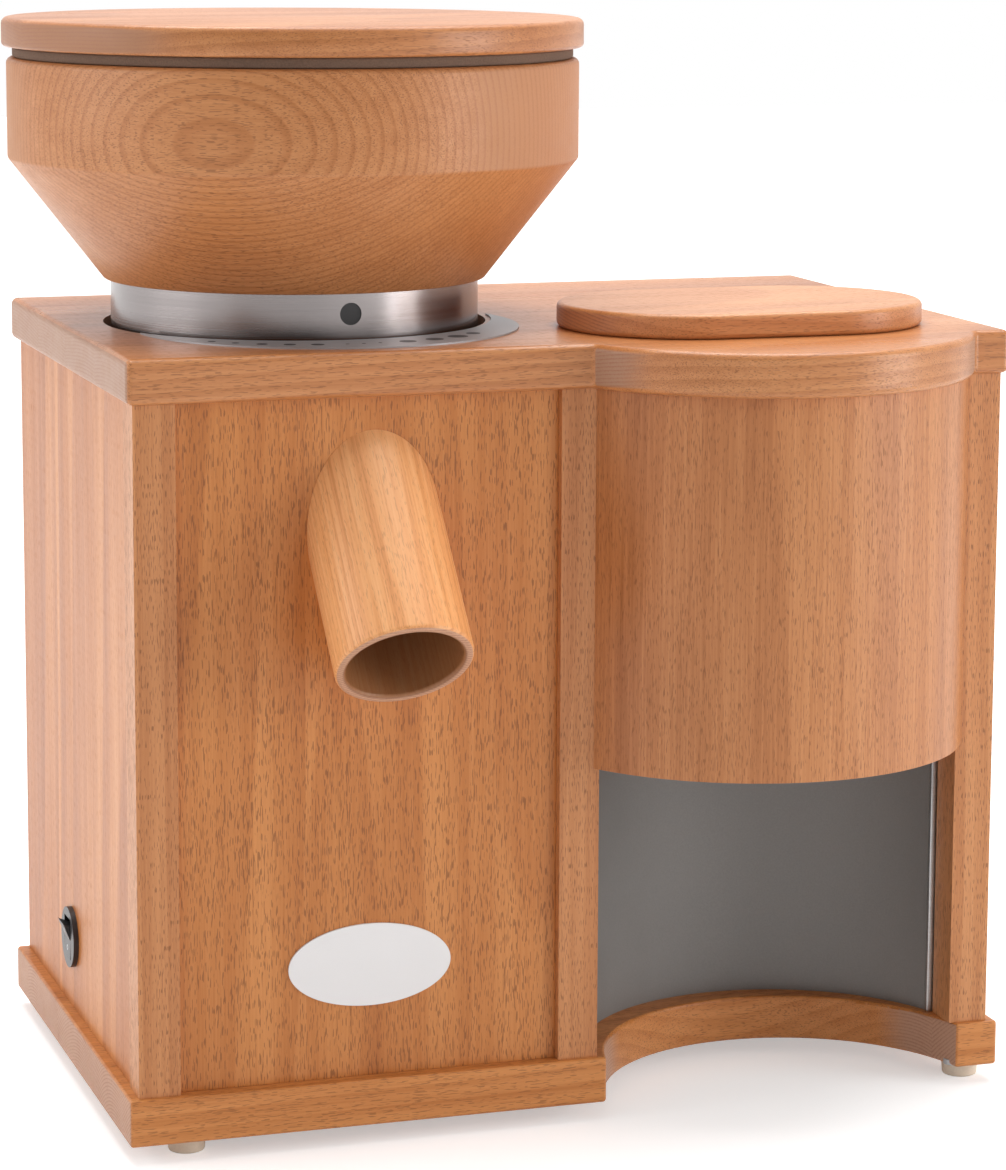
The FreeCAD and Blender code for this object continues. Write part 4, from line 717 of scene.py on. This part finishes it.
bowl = {
    "foot": 0.0706,
    "throat": 0.030,
    "floor": 0.012,
    "cone": 0.0445,
    "wall": 0.009,
    "edgeRound": 0.0022,
}
wide, low, high = widthAndHeights("hopper_bowl")
shoulder = low + bowl["cone"]
inner = wide - bowl["wall"]
turnPiece("hopper_bowl_turned", "hopper_bowl", "hopper", "beech_bowl", [
    (bowl["throat"], low, 0.2),
    (bowl["foot"], low, 0.6),
    (wide, shoulder, 1),
    (wide, high, 1),
    (inner, high, 0.6),
    (inner, shoulder + bowl["wall"] / 2, 1),
    (bowl["throat"], low + bowl["floor"], 0.4),
], bowl["edgeRound"])

lid = {
    "plug": 0.0885,
    "plugDeep": 0.008,
    "edgeRound": 0.0024,
}
wide, low, high = widthAndHeights("hopper_lid")
under = low + lid["plugDeep"]
turnPiece("hopper_lid_turned", "hopper_lid", "hopper_cover", "beech_lid", [
    (0, low, 0),
    (lid["plug"], low, 0.4),
    (lid["plug"], under, 0),
    (wide, under, 0.6),
    (wide, high, 1),
    (0, high, 0),
], lid["edgeRound"])

seal = {
    "wide": 0.0138,
    "edgeRound": 0.0009,
}
wide, low, high = widthAndHeights("lid_seal")
inner = wide - seal["wide"]
turnPiece("lid_seal_ring", "lid_seal", "hopper_cover", "seal_felt", [
    (inner, low, 0.5),
    (wide, low, 1),
    (wide, high, 1),
    (inner, high, 0.5),
], seal["edgeRound"])
print("hopper turned")

# Dots on the scale plate: angle about the hopper's axis, distance from it and width
dots = {
    "spots": [
        (-126.2, 0.0803, 0.0028), (-119.5, 0.0822, 0.0027), (-112.7, 0.0838, 0.0040),
        (-106.0, 0.0846, 0.0044), (-99.4, 0.0852, 0.0047), (-92.3, 0.0853, 0.0014),
        (-88.3, 0.0853, 0.0014), (-84.2, 0.0853, 0.0014), (-76.9, 0.0853, 0.0062),
        (-69.1, 0.0850, 0.0066), (-61.0, 0.0840, 0.0074), (-53.4, 0.0820, 0.0052),
    ],
    "thick": 0.00006,
    "sides": 24,
}


def dotsTree():
    inputs = {"Thickness": ("Float", 0.0001), "Sides": ("Int", 24), "Finish": ("Material", None)}
    group, b, wires, sockets = newTree("scale_dots", inputs)
    disc = {"Vertices": wires["Sides"], "Radius": 0.5, "Depth": 1.0}
    disc = b.add("GeometryNodeMeshCylinder", None, disc)
    width = b.add("GeometryNodeInputNamedAttribute", {"data_type": "FLOAT"}, {"Name": "width"})
    size = b.join(width, width, wires["Thickness"])
    spread = {"Points": wires["Geometry"], "Instance": disc, "Scale": size}
    endTree(b, b.add("GeometryNodeInstanceOnPoints", None, spread), wires["Finish"])
    return group, sockets


def makeDots(d):
    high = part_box("scale_plate")[1][2] + d["thick"] / 2
    places = []
    for angle, distance, _ in d["spots"]:
        turn = math.radians(angle)
        x = hopper["x"] + distance * math.cos(turn)
        y = hopper["y"] + distance * math.sin(turn)
        places.append((x, y, high))
    mesh = pointMesh("scale_dots", places, [], "width", [width for _, _, width in d["spots"]])
    item = runTree(mesh, dotsTree(), {"Thickness": d["thick"], "Sides": d["sides"]}, "dark_print")
    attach(item, "housing")


makeDots(dots)
print("scale dots placed:", len(dots["spots"]))

# Folded front edges of the sheet behind the bowl, in a steel much paler than the sheet: a painted
# highlight along the edges
edgeStrip = {
    "wide": 0.0026,
    "deep": 0.0014,
    "lap": 0.0004,  # how far a strip reaches into the sheet
    "round": 0.0004,
}


# An upright bar with rounded corners, from its lowest and highest corner
def makeBar(shape, low, high, corner):
    made = bmesh.ops.create_cube(shape, size=1)["verts"]
    for vert in made:
        for i in range(3):
            vert.co[i] = low[i] if vert.co[i] < 0 else high[i]
    edges = list({edge for vert in made for edge in vert.link_edges})
    bmesh.ops.bevel(shape, geom=edges, offset=corner, segments=2, affect="EDGES", profile=0.5)


def makeEdgeStrips(e):
    low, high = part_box("bay_shield")
    front, back = low[1] - e["deep"], low[1] + e["lap"]
    shape = bmesh.new()
    for left in (low[0], high[0] - e["wide"]):
        makeBar(shape, (left, front, low[2]), (left + e["wide"], back, high[2]), e["round"])
    item = addObject("shield_edges", meshFrom(shape, "shield_edges"), "edge_highlight_steel")
    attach(item, "housing")


makeEdgeStrips(edgeStrip)

# Tapered rubber feet
feet = {
    "taper": 0.93,
    "edge": {"wide": 0.0008, "angle": 40},
    "under": 0.0005,  # points below this height are the underside
}


# Sets of points that edges join
def looseParts(shape):
    left = set(shape.verts)
    while left:
        part = set()
        front = [left.pop()]
        while front:
            vert = front.pop()
            part.add(vert)
            near = {edge.other_vert(vert) for edge in vert.link_edges} & left
            left -= near
            front.extend(near)
        yield part


def makeFeet(f):
    shape = mergedShape("feet", True)
    for part in looseParts(shape):
        centre = sum((vert.co for vert in part), Vector()) / len(part)
        for vert in part:
            if vert.co.z < f["under"]:
                vert.co.x = centre.x + (vert.co.x - centre.x) * f["taper"]
                vert.co.y = centre.y + (vert.co.y - centre.y) * f["taper"]
    item = addObject("feet_tapered", meshFrom(shape, "feet_tapered"), "cream_rubber")
    breakEdges(item, f["edge"], False)
    bake(item)
    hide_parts("feet")
    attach(item, "housing")


makeFeet(feet)

# On and off marks on the two faces of the rocker
marks = {
    "ring": 0.0011,
    "bar": 0.0022,
    "line": 0.00028,  # half the width of a line
    "proud": 0.00006,
    "steps": 32,
    "facing": -0.8,  # a face of the rocker looks this far to the left, or more
}


# Middle and direction of the rocker's two faces, the higher one first
def rockerFaces(facing):
    faces = {}
    for polygon in nodes["switch_rocker"].data.polygons:
        normal = polygon.normal
        if normal.x < facing:
            key = (round(normal.x, 2), round(normal.z, 2))
            area, middle, _ = faces.get(key, (0.0, Vector(), None))
            faces[key] = (area + polygon.area, middle + polygon.center * polygon.area, normal.copy())
    biggest = sorted(faces.values(), key=lambda face: -face[0])[:2]
    middles = [(middle / area, normal) for area, middle, normal in biggest]
    return sorted(middles, key=lambda face: -face[0].z)


def circle(radius, steps):
    turns = [math.tau * i / steps for i in range(steps)]
    return [(radius * math.cos(turn), radius * math.sin(turn)) for turn in turns]


def makeMarks(m):
    half, tall = m["line"], m["bar"] / 2
    bar = [[(-half, -tall), (half, -tall), (half, tall), (-half, tall)]]
    ring = [circle(radius, m["steps"]) for radius in (m["ring"], m["ring"] - 2 * half)]
    side = Vector((0, 1, 0))
    shape = bmesh.new()
    for loops, (middle, normal) in zip((bar, ring), rockerFaces(m["facing"])):
        up = normal.cross(side).normalized()
        lift = normal * m["proud"]
        made = [[shape.verts.new(middle + side * u + up * v + lift) for u, v in loop] for loop in loops]
        if len(made) == 1:
            shape.faces.new(made[0])
        else:
            outer, inner = made
            for i in range(len(outer)):
                shape.faces.new((outer[i - 1], outer[i], inner[i], inner[i - 1]))
    for face in shape.faces:
        face.normal_update()
        if face.normal.x > 0:
            face.normal_flip()

    # A mark's back lies in the rocker, so that no light shows under it
    made = bmesh.ops.extrude_face_region(shape, geom=list(shape.faces))["geom"]
    for vert in (part for part in made if isinstance(part, bmesh.types.BMVert)):
        vert.co += Vector((m["proud"] * 2, 0, 0))
    bmesh.ops.recalc_face_normals(shape, faces=shape.faces)
    item = addObject("rocker_marks", meshFrom(shape, "rocker_marks"), "white_print")
    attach(item, "rocker")


makeMarks(marks)
print("small pieces made")

# Floor, world and lamps
studio = {
    "floorColour": (0.86, 0.86, 0.86),
    "floorGlow": 0.42,
    "floorFade": (0.3, 1.6),  # distances between which the floor grows white
    "floorReach": 6,
    "worldFill": 0.5,
    "darkTurn": -113,
    "darkSide": 0.02,
    "darkEdge": (0.78, 0.95),
}
white = (1, 1, 1)


# For each kind of ray, 1 where the light path is of that kind and 0 elsewhere
def rays(b, *kinds):
    outs = b.add("LightPath").socket.node.outputs
    return [Wire(b, outs["Is " + kind + " Ray"]) for kind in kinds]


def makeFloor(s):
    reach = s["floorReach"]
    mesh = bpy.data.meshes.new("floor")
    corners = [(-reach, -reach, 0), (reach, -reach, 0), (reach, reach, 0), (-reach, reach, 0)]
    mesh.from_pydata(corners, [], [(0, 1, 2, 3)])
    floor = bpy.data.objects.new("floor", mesh)
    bpy.context.scene.collection.objects.link(floor)
    material, b = newMaterial("floor")
    straight, glossy = rays(b, "Camera", "Glossy")
    length = b.add("VectorMath", {"operation": "LENGTH"}, {0: b.place()}, out="Value")
    far = length.smooth(*s["floorFade"])
    plain = b.add("BsdfDiffuse", None, {"Color": s["floorColour"]})
    strength = straight.calc("MAXIMUM", glossy) * (s["floorGlow"] + far * (1 - s["floorGlow"]))
    paintedLift = b.add("Emission", None, {"Color": white, "Strength": strength})
    both = b.add("AddShader", None, {0: plain, 1: paintedLift})
    b.add("OutputMaterial", None, {"Surface": both}, out=None)
    mesh.materials.append(material)


# The world is white to the camera and in reflections, but for a dim side behind the camera
def makeWorld(s):
    world = bpy.data.worlds.new("studio")
    bpy.context.scene.world = world
    world.use_nodes = True
    b = Bench(world.node_tree)
    straight, through, glossy = rays(b, "Camera", "Transmission", "Glossy")
    clear = straight.calc("MAXIMUM", through)
    x, y, _ = b.split(b.add("TexCoord", out="Generated"))
    turn = math.radians(s["darkTurn"])
    side = (x * math.cos(turn) + y * math.sin(turn)).smooth(*s["darkEdge"])
    mirrored = 1 - side * (1 - s["darkSide"])
    strength = clear + glossy * mirrored + (1 - clear.calc("MAXIMUM", glossy)) * s["worldFill"]
    back = b.add("Background", None, {"Color": white, "Strength": strength})
    b.add("OutputWorld", None, {"Surface": back}, out=None)


makeFloor(studio)
makeWorld(studio)

lamps = {
    "lamp_top": {"place": (0.1, 0.25, 1.5), "aim": (0, 0, 0.2), "size": (1.4, 1.0), "power": 24},
    "lamp_left": {"place": (-1.4, 0.1, 0.7), "aim": (0, 0, 0.2), "size": (0.9, 0.9), "power": 6.5},
    "lamp_right": {"place": (1.3, -0.9, 0.45), "aim": (0, 0, 0.15), "size": (0.7, 0.9), "power": 9.5},
}


def makeLamp(name, place, aim, size, power):
    data = bpy.data.lights.new(name, "AREA")
    data.shape = "RECTANGLE"
    data.size, data.size_y = size
    data.energy = power
    item = bpy.data.objects.new(name, data)
    item.location = place
    item.rotation_euler = (Vector(aim) - Vector(place)).to_track_quat("-Z", "Y").to_euler()
    bpy.context.scene.collection.objects.link(item)


for name, lamp in lamps.items():
    makeLamp(name, **lamp)
bpy.context.scene.view_settings.view_transform = "Standard"
print("studio set")
